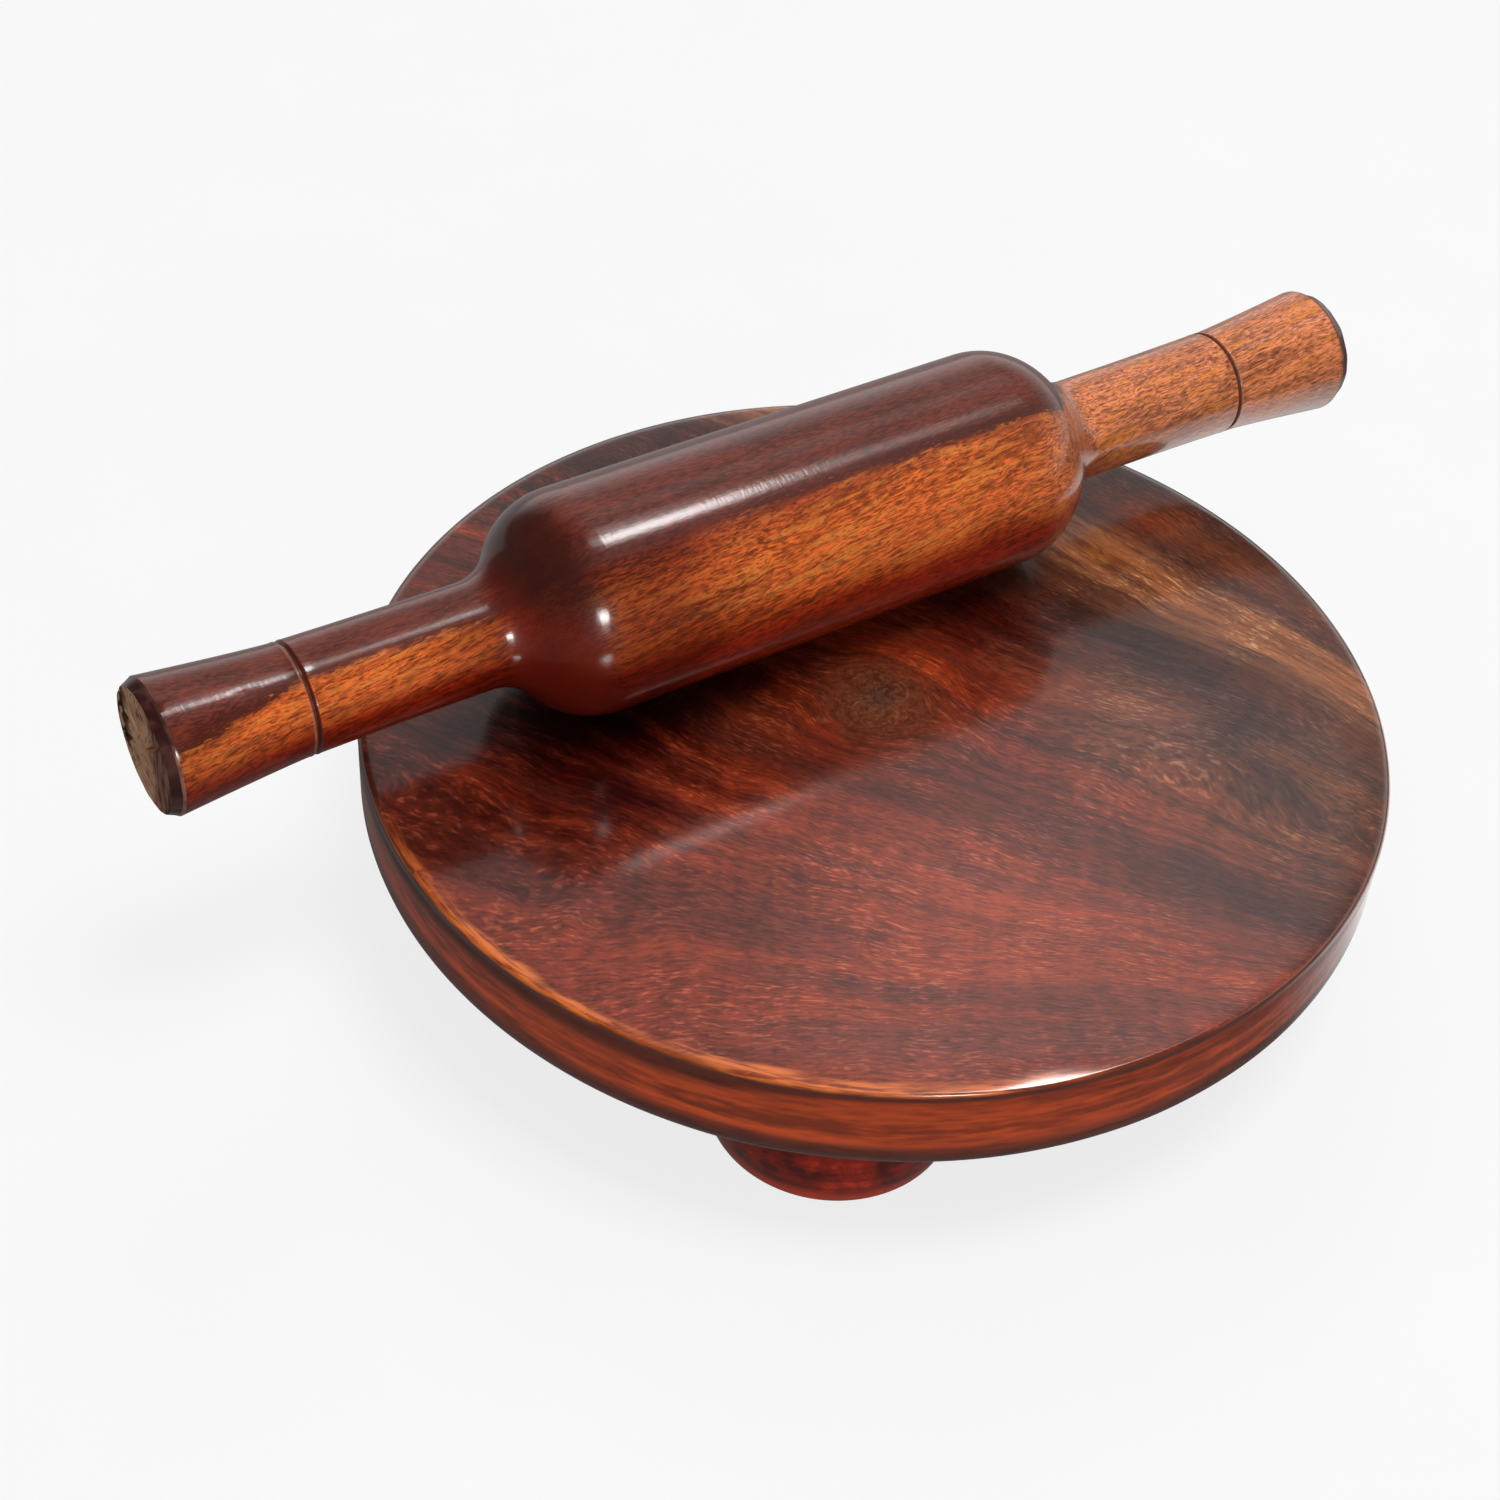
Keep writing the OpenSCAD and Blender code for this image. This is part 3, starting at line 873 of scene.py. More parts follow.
def sawn_end_wood(look):
    """Bare, dull end grain of the pin: ring arcs, tan patches, dark stains and chips."""
    finish = new_finish("sawn_end_grain")
    s, y, z = finish.place(PIN_MIDDLE)
    spot = finish.point(s, y, z)

    def leaning(lean, squeeze, grain, seed):
        """Noise drawn out upwards, leaning to one side."""
        across = finish.sums("MULTIPLY_ADD", z, lean, y)
        return finish.noise(finish.stretched((s, across, z), (1.0, 1.0, squeeze)), grain, seed)

    wander = finish.noise(finish.point(0.0, y, z), 7.0, 1)
    reach = finish.sums("MULTIPLY_ADD", wander, 4.0, finish.distance(y, z, SAWN_HEART))
    rings = finish.sums("SINE", finish.product(reach, 3.1))
    blots = finish.noise(spot, 6.0, 2, 3.0)
    pores = leaning(0.6, 0.22, 0.9, 3)
    colour = finish.mix(finish.ease(rings, -0.9, 0.9), *SAWN_RINGS)
    colour = finish.mix(finish.ease(blots, 0.46, 0.60, 0.0, 0.75), colour, look.sawn)
    colour = finish.mix(finish.ease(blots, 0.44, 0.34, 0.0, 0.70), colour, SAWN_BLOT)
    colour = finish.mix(finish.ease(pores, 0.56, 0.74, 0.0, 0.55), colour, SAWN_PORE)
    stained = finish.ease(finish.blend((y, 1.0), (wander, 8.0)), 4.0, -3.0, 0.10, 0.90)
    stain = finish.mix(finish.ease(leaning(0.18, 0.16, 1.5, 5), 0.42, 0.60), *SAWN_STAIN)
    colour = finish.mix(stained, colour, stain)
    chips = finish.ease(finish.noise(spot, 3.0, 4), 0.42, 0.52, 0.0, 0.92)
    chipped = finish.product(finish.ease(y, 6.0, 11.5), chips)
    inputs = {
        "Base Color": finish.mix(chipped, colour, SAWN_CHIP),
        "Roughness": finish.ease(blots, 0.3, 0.7, 1.0, 0.85),
        "Normal": finish.bump(finish.blend((pores, 1.0), (rings, 0.3)), 0.02),
        "Specular IOR Level": 0.02,
    }
    return finish.close(finish.add("ShaderNodeBsdfPrincipled", inputs).outputs[0])


# How light the steel still is where it has gone dull
TARNISH = 0.55


def screw_steel(look):
    """Zinc-plated steel with fine turned lines and dull spots."""
    finish = new_finish("plated_screw_steel")
    place = finish.place()
    dull = finish.noise(finish.point(*place), 1.6, 1, 3.0)
    lines = finish.noise(finish.stretched(place, (0.2, 0.2, 1.0)), 0.12, 2)
    tarnished = tuple(TARNISH * part for part in look.steel)
    inputs = {
        "Base Color": finish.mix(finish.ease(dull, 0.4, 0.7, 0.0, 0.6), look.steel, tarnished),
        "Metallic": 1.0,
        "Roughness": finish.ease(dull, 0.35, 0.7, 0.28, 0.52),
        "Normal": finish.bump(lines, 0.004),
    }
    return finish.close(finish.add("ShaderNodeBsdfPrincipled", inputs).outputs[0])


def arc(along, radius, bend, start, end, steps):
    """Points of an arc in a half section, as (along, radius). Angles start at straight outwards."""
    angles = [start + (end - start) * step / steps for step in range(steps + 1)]
    return [(along + bend * math.sin(a), radius + bend * math.cos(a)) for a in angles]


def spread(start, end, steps):
    """Evenly spaced numbers from start to end."""
    return [start + (end - start) * step / steps for step in range(steps + 1)]


def around(centre, radius, turn, height):
    """The point at this angle and height on a circle round an upright axis."""
    return (centre.x + radius * math.cos(turn), centre.y + radius * math.sin(turn), height)


def turned(name, section, segments, place, loop=False):
    """A turned piece. section(turn) lists (along, radius) round the outline at one angle, and
    place(along, radius, turn) gives the point. A radius of 0 makes a single point on the axis."""
    turns = [math.tau * step / segments for step in range(segments)]
    columns = [section(turn) for turn in turns]
    made = bmesh.new()
    rows = []
    for level, (along, radius) in enumerate(columns[0]):
        if radius == 0.0:
            rows.append([made.verts.new(place(along, 0.0, 0.0))])
        else:
            spots = [place(*column[level], turn) for column, turn in zip(columns, turns)]
            rows.append([made.verts.new(spot) for spot in spots])
    if loop:
        rows.append(rows[0])
    for near, far in zip(rows, rows[1:]):
        for step in range(segments):
            after = (step + 1) % segments
            corners = [near[step % len(near)], near[after % len(near)],
                       far[after % len(far)], far[step % len(far)]]
            made.faces.new(dict.fromkeys(corners)).smooth = True
    bmesh.ops.recalc_face_normals(made, faces=made.faces)
    return to_object(name, made)


def to_object(name, made):
    """A scene object from a finished bmesh."""
    mesh = bpy.data.meshes.new(name)
    made.to_mesh(mesh)
    made.free()
    piece = bpy.data.objects.new(name, mesh)
    bpy.context.scene.collection.objects.link(piece)
    return piece


def carve(piece, cutter):
    """Cuts the cutter's shape out of the piece, and removes the cutter."""
    cut = piece.modifiers.new("cut", "BOOLEAN")
    cut.operation = "DIFFERENCE"
    cut.solver = "EXACT"
    cut.object = cutter
    evaluated = piece.evaluated_get(bpy.context.evaluated_depsgraph_get())
    carved = bpy.data.meshes.new_from_object(evaluated)
    if len(carved.polygons) <= len(piece.data.polygons) // 2:
        raise RuntimeError("the cut through " + piece.name + " left too little of it")
    piece.modifiers.clear()
    piece.data = carved
    carved.name = piece.name
    bpy.data.objects.remove(cutter)


def dress(piece, body, node, slot, *materials, crease=35):
    """Gives a piece its materials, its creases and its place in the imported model."""
    piece.data.materials.clear()
    for material in materials:
        piece.data.materials.append(material)
    piece.data.set_sharp_from_angle(angle=math.radians(crease))
    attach(piece, body)
    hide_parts(node)


# Wear that takes wood away, as (greatest depth, width of its dips, seed)
RIM_WEAR = (0.12 * MM, 26 * MM, 2)
SAW_MARKS = (0.07 * MM, 1.9 * MM, 3)
SAWN_HOLLOWS = (0.35 * MM, 8 * MM, 4)
PIN_WEAR = (0.08 * MM, 22 * MM, 5)
BEVEL_CHIPS = (0.35 * MM, 2.6 * MM, 6)
# The same for the feet, whose seeds are their numbers, and the width of the top's sanding dips
FOOT_WEAR = (0.15 * MM, 18 * MM)
RIPPLE_WIDTH = 34 * MM
# How far the wear moves on for each next seed
NEXT_WEAR = (11.3, 5.9, 8.7)


def wear(spot, depth, width, seed):
    """How much wood is gone at a spot: smooth noise from 0 to depth, with dips about width wide."""
    shifted = Vector(spot) / width + Vector([seed * step for step in NEXT_WEAR])
    return depth * min(1.0, max(0.0, 0.5 + 0.7 * noise.noise(shifted)))


# Directions from the board's middle: to its front foot, where the arris is crispest, and to the
# stretch of the margin that is sanded lowest, with half its width
FRONT = math.radians(-128)
SANDED = math.radians(-107)
SANDED_HALF = math.radians(6)
# Reach beyond which the board's wall and rim are worn, and the radius of its starter holes
WORN_FROM = 100 * MM
STARTER_RADIUS = 1.6 * MM


def board_section(look, turn):
    """Outline of the board at one angle: underside, lower edge, wall, arris, margin and top."""
    edge = max(look.arris_least, look.arris - look.arris_swing * math.cos(turn - FRONT))
    from_sanded = math.remainder(turn - SANDED, math.tau) / SANDED_HALF
    drop = look.margin_drop * (0.30 + 0.70 * math.exp(-from_sanded ** 2))
    arris_at = BOARD_HIGH.z - drop - edge
    wall_from = BOARD_LOW.z + look.lower_edge
    tilt = math.atan(2 * drop / look.margin)
    points = [(BOARD_LOW.z, r) for r in spread(0.0, BOARD_RADIUS - look.lower_edge, 12)]
    points += arc(
        wall_from, BOARD_RADIUS - look.lower_edge, look.lower_edge, -math.pi / 2, 0, 14)[1:]
    for level in spread(wall_from, arris_at, 20)[1:]:
        below = (arris_at - level) / (2.6 * MM)
        hollow = look.undercut * math.exp(-((below - 0.75) * 2.2) ** 2)
        points.append((level, BOARD_RADIUS - hollow * min(1.0, 4 * below)))
    points += arc(arris_at, BOARD_RADIUS - edge, edge, 0, math.pi / 2 - tilt, 12)[1:]
    rim = points[-1][1]
    for share in spread(0.0, 1.0, 10)[1:]:
        points.append((BOARD_HIGH.z - drop * (1 - share) ** 2, rim - look.margin * share))
    points += [(BOARD_HIGH.z, r) for r in spread(rim - look.margin, 0.0, 22)[1:]]
    return points


def board_point(look, along, radius, turn):
    """A point of the board's surface, with the dips that hand sanding left."""
    x, y, _ = around(BOARD_MIDDLE, radius, turn, along)
    if along > BOARD_MIDDLE.z + look.lower_edge:
        along -= wear((x, y, 0.0), look.ripple, RIPPLE_WIDTH, 1)
    if radius > WORN_FROM:
        radius -= wear((x, y, along), *RIM_WEAR)
    return around(BOARD_MIDDLE, radius, turn, along)


def starter_holes():
    """Cutter for the blind starter holes over the feet."""
    made = bmesh.new()
    for foot in FEET:
        spot = middle_of("foot_" + foot)
        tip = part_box("foot_screw_" + foot)[1].z + 1 * MM
        start = BOARD_LOW.z - 1 * MM
        drill = bmesh.ops.create_cone(
            made, cap_ends=True, segments=32, radius1=STARTER_RADIUS, radius2=STARTER_RADIUS,
            depth=tip - start)
        centre = Vector((spot.x, spot.y, (tip + start) / 2))
        bmesh.ops.translate(made, verts=drill["verts"], vec=centre)
    return to_object("starter_hole_cutter", made)


class MakeBoard(bpy.types.Operator):
    """Turn the round board and lacquer it"""

    bl_idname = "rolling_set.make_board"
    bl_label = "Make Board"
    bl_options = {"REGISTER", "UNDO"}

    def execute(self, context):
        look = context.scene.rolling_set_board
        board = turned(
            "board_top", lambda turn: board_section(look, turn), look.segments,
            lambda along, radius, turn: board_point(look, along, radius, turn))
        carve(board, starter_holes())
        dress(board, "board", "rolling_board", "board_wood", board_wood(look), crease=50)
        return {"FINISHED"}


def foot_section(look, which):
    """Closed outline of a foot: recess, countersink and bore inside, curved side outside."""
    low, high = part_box("foot_" + FEET[which])
    widest = (high.x - low.x) / 2
    side_middle = widest - look.side
    inner = look.side - look.lower_edge
    rise = look.belly - look.lower_edge
    edge_middle = side_middle + math.sqrt(inner ** 2 - rise ** 2)
    lean = math.asin(rise / inner)
    top_lean = math.asin((high.z - look.belly) / look.side)
    sink = look.recess_depth
    flare = 2 * MM
    points = [(low.z, look.recess + 0.3 * MM), (low.z + 0.3 * MM, look.recess)]
    points += [(level, look.recess) for level in spread(low.z + 1.5 * MM, sink, 3)]
    points += [(sink, look.recess - 0.6 * MM), (sink, look.bore + flare), (sink + flare, look.bore)]
    points += [(level, look.bore) for level in spread(sink + flare, high.z, 6)[1:]]
    rim = arc(look.belly, side_middle, look.side, top_lean, -lean, 26)
    points += [(high.z, r) for r in spread(look.bore, rim[0][1], 8)[1:-1]]
    points += rim
    points += arc(look.lower_edge, edge_middle, look.lower_edge, -lean, -math.pi / 2, 12)[1:]
    points += [(low.z, r) for r in spread(edge_middle, look.recess + 0.3 * MM, 8)[1:-1]]
    return points


def foot_point(look, which, centre, along, radius, turn):
    """A point of a foot, whose outer side is a hair out of round."""
    if radius > look.recess + 1 * MM:
        level = (radius * math.cos(turn), radius * math.sin(turn), along)
        radius -= wear(level, *FOOT_WEAR, which)
    return around(centre, radius, turn, along)


class MakeFeet(bpy.types.Operator):
    """Turn the three feet, bored and recessed for their screws"""

    bl_idname = "rolling_set.make_feet"
    bl_label = "Make Feet"
    bl_options = {"REGISTER", "UNDO"}

    def execute(self, context):
        look = context.scene.rolling_set_feet
        for which, name in enumerate(FEET):
            centre = middle_of("foot_" + name)
            outline = foot_section(look, which)
            foot = turned(
                "turned_foot_" + name, lambda turn: outline, look.segments,
                lambda along, radius, turn: foot_point(look, which, centre, along, radius, turn),
                loop=True)
            dress(foot, "board", "foot_" + name, "foot_wood", foot_wood(look, which))
        return {"FINISHED"}


def screw_section(look, low, high, turn):
    """Outline of a screw at one angle: flat head, plain shank, helical thread and point."""
    length = high - low
    head_depth = look.head - look.shank
    points = [(low, r) for r in spread(0.0, look.head - 0.15 * MM, 4)]
    points += [(low + 0.1 * MM, look.head), (low + 0.3 * MM, look.head)]
    points += [(low + head_depth, look.shank), (low + look.plain, look.shank)]
    rows = round((length - look.plain) / (look.pitch / 10))
    for level in spread(look.plain, length, rows)[1:]:
        phase = ((level - look.plain) / look.pitch - turn / math.tau) % 1.0
        ridge = max(0.0, 1 - abs(phase - 0.5) / 0.30)
        start = min(1.0, (level - look.plain) / look.pitch)
        taper = min(1.0, max(0.12, (length - level) / look.point))
        root = look.shank + (look.root - look.shank) * start
        points.append((low + level, (root + (look.shank - root) * ridge) * taper))
    points.append((high, 0.0))
    return points


# The cross recess in a screw's head, as (height above the head, half length, half width) at its
# mouth and at its floor
RECESS_ENDS = ((-0.5 * MM, 2.4 * MM, 0.55 * MM), (1.6 * MM, 1.3 * MM, 0.35 * MM))


def blade(centre, low, turn):
    """Cutter for one slot of the cross recess in a screw's head, tapering inwards."""
    made = bmesh.new()
    along = Vector((math.cos(turn), math.sin(turn), 0.0))
    aside = Vector((-math.sin(turn), math.cos(turn), 0.0))
    rings = []
    for level, half, wide in RECESS_ENDS:
        base = Vector((centre.x, centre.y, low + level))
        corners = ((-half, -wide), (half, -wide), (half, wide), (-half, wide))
        rings.append([made.verts.new(base + along * a + aside * b) for a, b in corners])
    made.faces.new(rings[0])
    made.faces.new(rings[1])
    for corner in range(4):
        after = (corner + 1) % 4
        made.faces.new((rings[0][corner], rings[0][after], rings[1][after], rings[1][corner]))
    bmesh.ops.recalc_face_normals(made, faces=made.faces)
    return to_object("slot_cutter", made)


class MakeScrews(bpy.types.Operator):
    """Make the countersunk wood screws that hold the feet"""

    bl_idname = "rolling_set.make_screws"
    bl_label = "Make Screws"
    bl_options = {"REGISTER", "UNDO"}

    def execute(self, context):
        look = context.scene.rolling_set_screws
        steel = screw_steel(look)
        for name in FEET:
            node = "foot_screw_" + name
            low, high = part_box(node)
            centre = (low + high) / 2
            screw = turned(
                "threaded_screw_" + name,
                lambda turn: screw_section(look, low.z, high.z, turn), look.segments,
                lambda along, radius, turn: around(centre, radius, turn, along))
            for turn in (0.0, math.pi / 2):
                carve(screw, blade(centre, low.z, turn))
            dress(screw, "board", node, "screw_steel", steel)
        return {"FINISHED"}


# Cracks in the pin's end faces, as (side, angle, start, end, width), sizes in millimetres
END_CRACKS = (
    (-1, 2.45, 1.0, 13.0, 0.9),
    (-1, 0.15, 6.0, 14.2, 1.5),
    (-1, -0.40, 7.0, 14.2, 1.1),
    (-1, 0.65, 2.0, 13.5, 0.8),
    (1, 1.30, 1.0, 10.0, 0.6),
    (1, 4.40, 3.0, 11.5, 0.7),
)
# Small knocks in the pin, as (place along it, angle, radius, depth), sizes in millimetres
PIN_KNOCKS = (
    (-139.0, 1.08, 2.0, 0.14),
    (-88.0, 0.95, 1.6, 0.30),
    (31.0, 0.42, 3.0, 0.20),
)


def half_pin(look):
    """Outline of the pin from its middle to one end's edge, as (distance along it, radius)."""
    barrel = (PIN_HIGH.z - PIN_LOW.z) / 2
    half = look.straight / 2
    end = PIN_HIGH.x
    ring_at = end - look.ring_inset
    flare_end = end - look.bevel
    drop = look.shoulder * (1 - math.cos(look.slope))
    cove = (barrel - drop - look.root) / (1 - math.cos(look.slope))
    cove_end = half + (look.shoulder + cove) * math.sin(look.slope)
    points = [(s, barrel) for s in spread(0.0, half, 28)]
    points += arc(half, barrel - look.shoulder, look.shoulder, 0, look.slope, 22)[1:]
    points += arc(cove_end, look.root + cove, -cove, look.slope, 0, 16)[1:]
    for share in spread(0.0, 1.0, 16)[1:-1]:
        along = cove_end + (ring_at - 1.4 * MM - cove_end) * share
        points.append((along, look.root + (look.ring - look.root) * share ** 2))
    lip = 0.07 * MM
    groove = ((-1.3, 0), (-0.95, lip), (-0.7, lip), (-0.5, -lip), (-0.12, -look.ring_depth),
              (0.12, -look.ring_depth), (0.5, -lip), (0.7, lip), (0.95, lip), (1.3, 0))
    points += [(ring_at + step * MM, look.ring + depth) for step, depth in groove]
    for share in spread(0.0, 1.0, 16)[1:]:
        along = ring_at + 1.3 * MM + (flare_end - ring_at - 1.3 * MM) * share
        points.append((along, look.ring + (look.flare - look.ring) * share ** 1.15))
    points += [(flare_end + 0.35 * MM, look.flare - 0.12 * MM)]
    for share in (0.35, 0.7, 1.0):
        along = flare_end + (end - flare_end) * share
        points.append((along, look.flare + (look.face - look.flare) * share))
    return points


def pin_section(look):
    """Outline of the whole pin from the middle of one end face to the other."""
    end = PIN_HIGH.x
    right = half_pin(look)
    left = [(-s, radius) for s, radius in reversed(right[1:])]
    rings = spread(0.0, look.face, 30)[:-1]
    return [(-end, r) for r in rings] + left + right + [(end, r) for r in reversed(rings)]


def end_relief(look, side, across, up):
    """How far the sawn end face lies below flat at one spot, in metres."""
    spot = (across, up, side * 50 * MM)
    depth = wear(spot, *SAW_MARKS) + wear(spot, *SAWN_HOLLOWS)
    for crack_side, angle, start, finish, width in END_CRACKS:
        if crack_side != side:
            continue
        along = across * math.cos(angle) + up * math.sin(angle)
        aside = up * math.cos(angle) - across * math.sin(angle)
        aside += 0.5 * MM * noise.noise(Vector((along / (3 * MM), angle, 0.0)))
        share = (along / MM - start) / (finish - start)
        if 0 < share < 1:
            opening = width * MM * math.sin(math.pi * share) ** 0.5
            depth += look.crack * max(0.0, 1 - (abs(aside) / opening) ** 1.5)
    return depth


def pin_point(look, along, radius, turn):
    """A point of the pin's surface, with its rough ends, its knocks and its uneven turning."""
    across, up = -radius * math.cos(turn), radius * math.sin(turn)
    end = PIN_HIGH.x
    flat_end = abs(along) > end - 0.01 * MM
    side = 1 if along > 0 else -1
    if flat_end and radius < look.face - 0.2 * MM:
        fade = min(1.0, (look.face - radius) / (1.2 * MM))
        along -= side * fade * end_relief(look, side, across, up)
    elif radius > 0.0:
        worn = wear((along * 0.4, across, up), *PIN_WEAR)
        if abs(along) > end - look.bevel:
            worn += wear((along, across, up), *BEVEL_CHIPS)
        for place, angle, size, depth in PIN_KNOCKS:
            aside = radius * ((turn - angle + math.pi) % math.tau - math.pi)
            gap = math.hypot(along - place * MM, aside) / (size * MM)
            worn += depth * MM * math.exp(-3 * gap * gap)
        across *= 1 - worn / radius
        up *= 1 - worn / radius
    return (along, PIN_MIDDLE.y + across, PIN_MIDDLE.z + up)


class MakePin(bpy.types.Operator):
    """Turn the rolling pin and lacquer it"""

    bl_idname = "rolling_set.make_pin"
    bl_label = "Make Pin"
    bl_options = {"REGISTER", "UNDO"}

    def execute(self, context):
        look = context.scene.rolling_set_pin
        outline = pin_section(look)
        pin = turned(
            "turned_pin", lambda turn: outline, look.segments,
            lambda along, radius, turn: pin_point(look, along, radius, turn))
        dress(pin, "pin", "rolling_pin", "pin_wood", pin_wood(look), sawn_end_wood(look), crease=40)
        edge = PIN_HIGH.x - 2 * MM
        for face in pin.data.polygons:
            middle = face.center
            reach = math.hypot(middle.y - PIN_MIDDLE.y, middle.z - PIN_MIDDLE.z)
            on_end = abs(middle.x) > edge and reach < look.face - 0.1 * MM
            face.material_index = 1 if on_end else 0
        return {"FINISHED"}


# Where reflections see the backdrop bright: the level direction of its middle, and the way to the
# soft glow high up in it. The wall's right side mirrors the floor's bright patch, in millimetres.
UP = Vector((0, 0, 1))
BRIGHT_SIDE = Vector((0.94, 0.34, 0.0))
GLOW = Vector((0.489, 0.456, 0.743))
PATCH = Vector((175.0, -40.0))
# Height of the long lamp over the set, and the floor plan that it covers, in metres
LAMP_HEIGHT = 1.0
LAMP_LEFT, LAMP_RIGHT = -0.06, 0.74
LAMP_FRONT, LAMP_BACK = -0.12, 0.32
# The window and the soft lights, which are square, in metres
WINDOW_PLACE = Vector((-0.42, -1.50, 0.44))
WINDOW_WIDTH, WINDOW_HEIGHT = 0.54, 1.00
SOFT_SIDE = 0.9


def seen_share(finish):
    """Where a light path is seen: by the camera or through glass, and in a reflection."""
    path = finish.add("ShaderNodeLightPath", {}).outputs
    seen = finish.sums("MAXIMUM", path["Is Camera Ray"], path["Is Transmission Ray"])
    return seen, path["Is Glossy Ray"]


def make_floor(look):
    """Large pale floor. It scatters light evenly, keeps shadows, and is seen nearly white."""
    made = bmesh.new()
    bmesh.ops.create_grid(made, x_segments=12, y_segments=12, size=look.floor_size / 2)
    floor = to_object("studio_floor", made)
    finish = new_finish("pale_floor")
    seen, mirrored = seen_share(finish)
    x, y, _ = finish.place()
    behind = finish.ease(y, 60.0, 260.0, 0.0, 0.35)
    patch = finish.ease(finish.distance(x, y, PATCH), 30.0, 150.0, 1.8, 0.12)
    mirrored_lift = finish.product(mirrored, finish.sums("MAXIMUM", patch, behind))
    lift = finish.product(finish.sums("MAXIMUM", seen, mirrored_lift), look.floor_lift)
    grain = finish.noise(finish.point(x, y, 0.0), 40.0, 1)
    grey = finish.ease(grain, 0.0, 1.0, look.floor_grey - 0.004, look.floor_grey + 0.004)
    grey = finish.product(grey, finish.sums("MULTIPLY_ADD", mirrored, -0.9, 1.0))
    colour = finish.point(grey, grey, grey)
    scatter = finish.add("ShaderNodeBsdfDiffuse", {"Color": colour}).outputs[0]
    surface = finish.add("ShaderNodeAddShader", {0: scatter, 1: finish.glow(lift)}).outputs[0]
    floor.data.materials.append(finish.close(surface))


def make_world(look):
    """Fill light that is stronger from above. Reflections see it bright behind and dim in front."""
    world = bpy.data.worlds.new("studio_air")
    bpy.context.scene.world = world
    finish = Finish(world)
    seen, mirrored = seen_share(finish)
    direction = finish.add("ShaderNodeTexCoord", {}).outputs["Generated"]
    height = finish.toward(direction, UP)
    strength = finish.ease(height, 0.0, 1.0, look.fill, look.fill * look.fill_rise)
    side = finish.ease(finish.toward(direction, BRIGHT_SIDE), 0.12, 0.50, look.dim_side, 0.80)
    level = finish.ease(height, 0.05, 0.60, 1.15, 0.42)
    glow = finish.ease(finish.toward(direction, GLOW), 0.986, 0.998, 0.0, 0.44)
    backdrop = finish.sums("MULTIPLY_ADD", side, level, glow)
    for share, other in ((mirrored, backdrop), (seen, look.background)):
        strength = finish.between(share, strength, other)
    white = (1.0, 1.0, 1.0, 1.0)
    air = finish.add("ShaderNodeBackground", {"Color": white, "Strength": strength}).outputs[0]
    finish.close(air, "ShaderNodeOutputWorld")


def make_lamp(name, place, aim, width, height, power):
    """A rectangular lamp at place that points at aim."""
    lamp = bpy.data.lights.new(name, "AREA")
    lamp.shape = "RECTANGLE"
    lamp.size = width
    lamp.size_y = height
    lamp.energy = power
    holder = bpy.data.objects.new(name, lamp)
    holder.location = place
    holder.rotation_mode = "QUATERNION"
    holder.rotation_quaternion = (Vector(aim) - Vector(place)).to_track_quat("-Z", "Y")
    holder.visible_camera = False
    bpy.context.scene.collection.objects.link(holder)
    return holder


def highlight_only(holder):
    """Lets a lamp show only as a highlight. Gives its finish, and how far a spot lies across and
    up it, from 0 to 1."""
    holder.visible_diffuse = False
    finish = Finish(holder.data)
    u, v, _ = finish.split(finish.add("ShaderNodeNewGeometry", {}).outputs["Parametric"])
    return finish, u, v


def make_overhead(look):
    """Long soft box over the pin, seen only as a highlight. It is brightest left of its middle."""
    middle = Vector(((LAMP_LEFT + LAMP_RIGHT) / 2, (LAMP_FRONT + LAMP_BACK) / 2, LAMP_HEIGHT))
    finish, u, v = highlight_only(make_lamp(
        "overhead_lamp", middle, middle - UP, LAMP_RIGHT - LAMP_LEFT, LAMP_BACK - LAMP_FRONT,
        look.overhead))
    start = finish.product(finish.ease(u, 0.05, 0.20), finish.ease(u, 0.38, 0.48, 0.16, 1.0))
    fade = finish.product(
        finish.ease(u, 0.56, 0.65, 1.0, 0.10), finish.ease(u, 0.78, 0.93, 1.0, 0.0))
    core = finish.band(v, 0.36, 0.03, 0.24)
    skirt = finish.product(finish.band(v, 0.60, 0.15, 0.25), finish.band(u, 0.42, 0.06, 0.14))
    across = finish.blend((core, 0.88), (skirt, 0.12))
    finish.close(finish.glow(finish.product(start, fade, across)), "ShaderNodeOutputLight")


def make_window(look):
    """Tall window in front, seen only as a highlight: bright at the top, faint below."""
    finish, u, v = highlight_only(make_lamp(
        "window", WINDOW_PLACE, PIN_MIDDLE, WINDOW_WIDTH, WINDOW_HEIGHT, look.window))
    across = finish.band(u, 0.5, 0.0, 0.5)
    tail = finish.product(finish.ease(v, 0.06, 0.66), finish.ease(v, 0.94, 0.74))
    along = finish.blend((finish.band(v, 0.72, 0.0, 0.24), 1.0), (tail, 0.14))
    finish.close(finish.glow(finish.product(across, along)), "ShaderNodeOutputLight")


def make_soft_lights(look):
    """Big soft lights above, low in front and behind, that cast no highlight."""
    lights = (("key", look.key_place, look.key), ("front", look.front_place, look.front),
              ("back", look.back_place, look.back))
    for name, place, power in lights:
        soft = make_lamp(name + "_light", place, PIN_MIDDLE, SOFT_SIDE, SOFT_SIDE, power)
        soft.visible_glossy = False


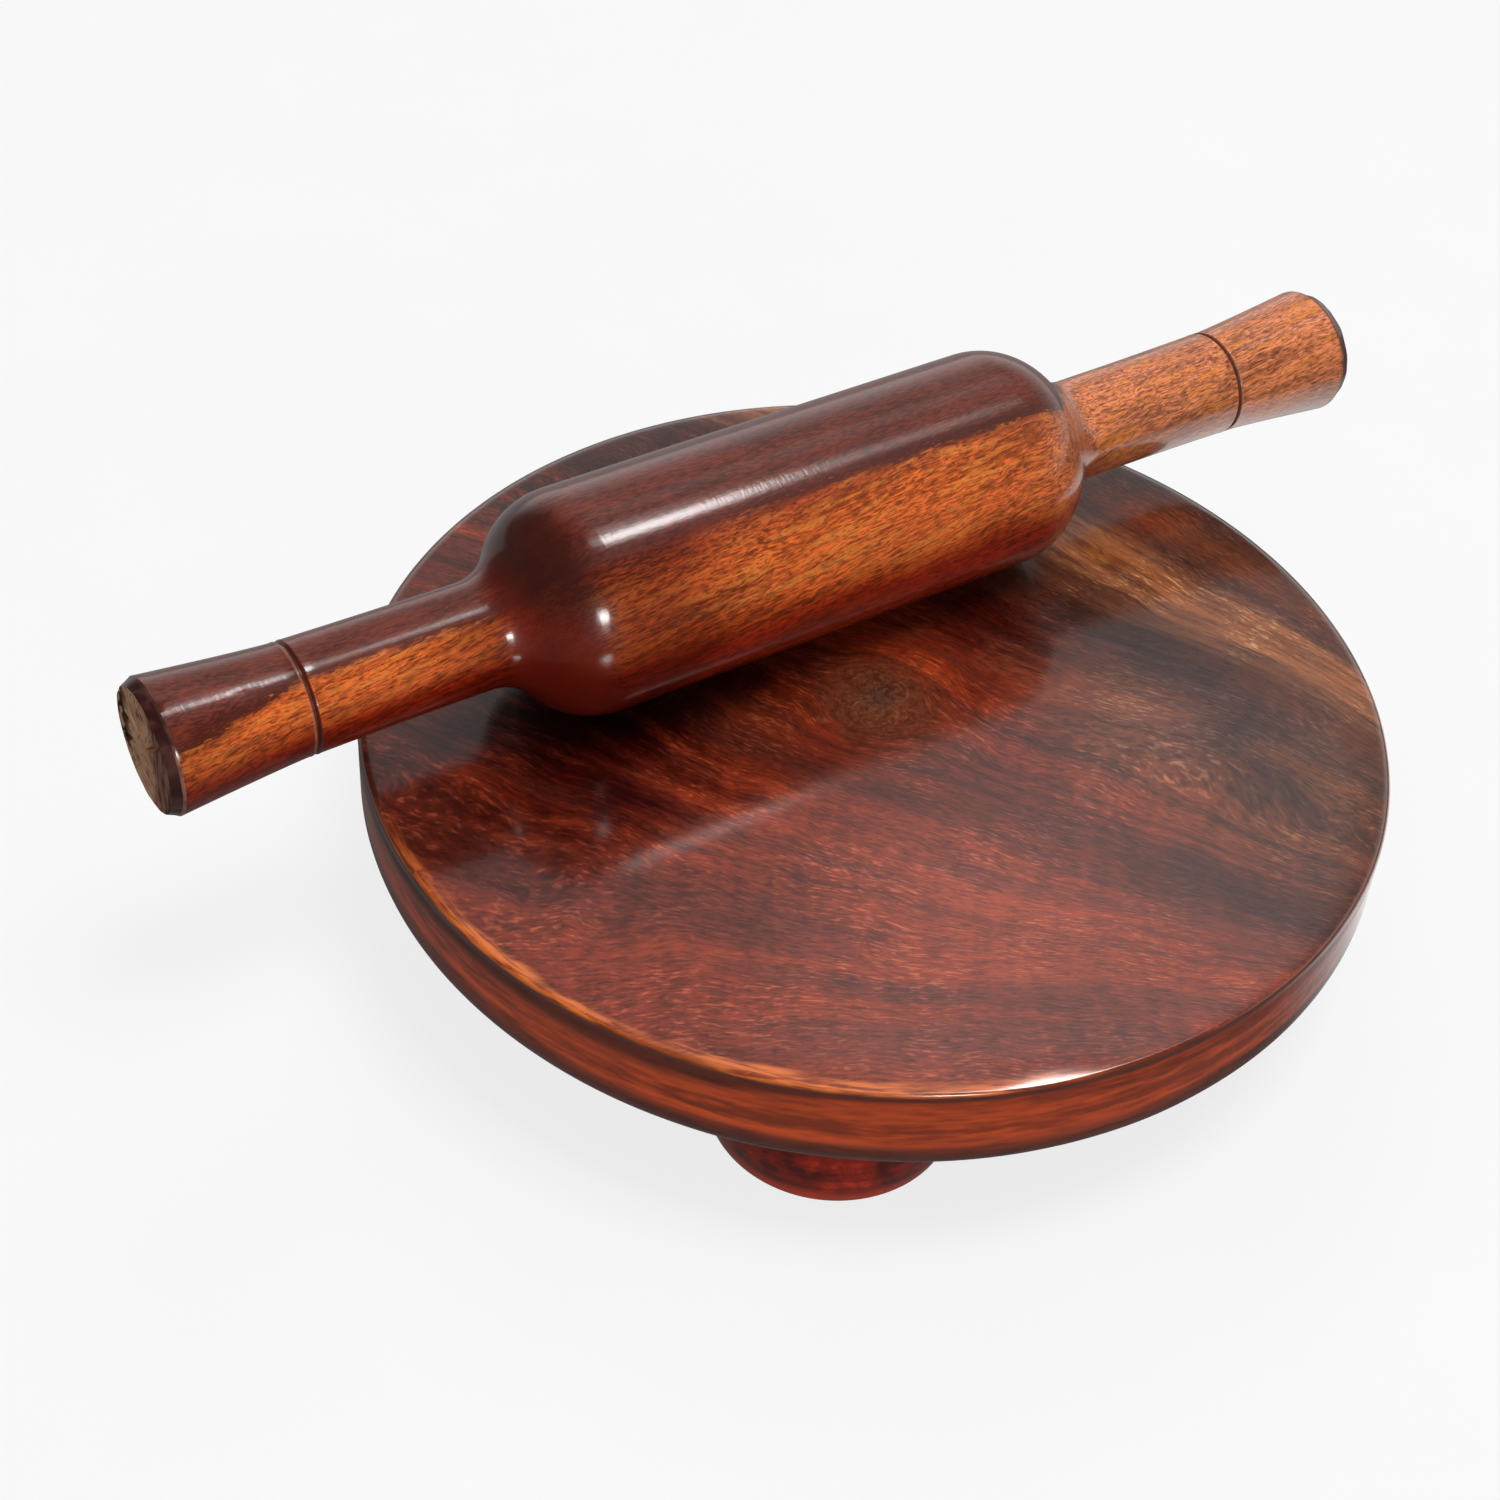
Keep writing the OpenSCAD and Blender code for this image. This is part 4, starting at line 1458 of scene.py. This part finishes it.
def make_camera(look):
    """Camera at the photograph's viewing angle."""
    camera = bpy.data.cameras.new("view")
    camera.sensor_width = 36.0
    camera.lens = look.lens
    holder = bpy.data.objects.new("view", camera)
    holder.location = look.camera_place
    holder.rotation_euler = look.camera_turn
    bpy.context.scene.collection.objects.link(holder)
    bpy.context.scene.camera = holder


class MakeStage(bpy.types.Operator):
    """Set up the floor, the light and the camera"""

    bl_idname = "rolling_set.make_stage"
    bl_label = "Make Stage"
    bl_options = {"REGISTER", "UNDO"}

    def execute(self, context):
        look = context.scene.rolling_set_stage
        make_camera(look)
        make_floor(look)
        make_world(look)
        make_overhead(look)
        make_window(look)
        make_soft_lights(look)
        context.scene.view_settings.view_transform = "Standard"
        return {"FINISHED"}


class RollingSetPanel(bpy.types.Panel):
    """Buttons and settings of the rolling board set"""

    bl_idname = "VIEW3D_PT_rolling_set"
    bl_label = "Rolling Board Set"
    bl_space_type = "VIEW_3D"
    bl_region_type = "UI"
    bl_category = "Rolling Board"

    def draw(self, context):
        for maker, settings, _ in STEPS:
            box = self.layout.box()
            box.operator(maker.bl_idname)
            group = getattr(context.scene, settings)
            for name in group.__annotations__:
                box.prop(group, name)


# Each step's operator, where the scene keeps its settings, and their class
STEPS = (
    (MakeStage, "rolling_set_stage", StageSettings),
    (MakeBoard, "rolling_set_board", BoardSettings),
    (MakeFeet, "rolling_set_feet", FootSettings),
    (MakeScrews, "rolling_set_screws", ScrewSettings),
    (MakePin, "rolling_set_pin", PinSettings),
)


def register():
    for maker, settings, group in STEPS:
        bpy.utils.register_class(group)
        bpy.utils.register_class(maker)
        setattr(bpy.types.Scene, settings, PointerProperty(type=group))
    bpy.utils.register_class(RollingSetPanel)


def unregister():
    bpy.utils.unregister_class(RollingSetPanel)
    for maker, settings, group in reversed(STEPS):
        delattr(bpy.types.Scene, settings)
        bpy.utils.unregister_class(maker)
        bpy.utils.unregister_class(group)


def main():
    """Makes the whole set, one step after another."""
    register()
    bpy.ops.rolling_set.make_stage()
    bpy.ops.rolling_set.make_board()
    bpy.ops.rolling_set.make_feet()
    bpy.ops.rolling_set.make_screws()
    bpy.ops.rolling_set.make_pin()


if __name__ == "__main__":
    main()
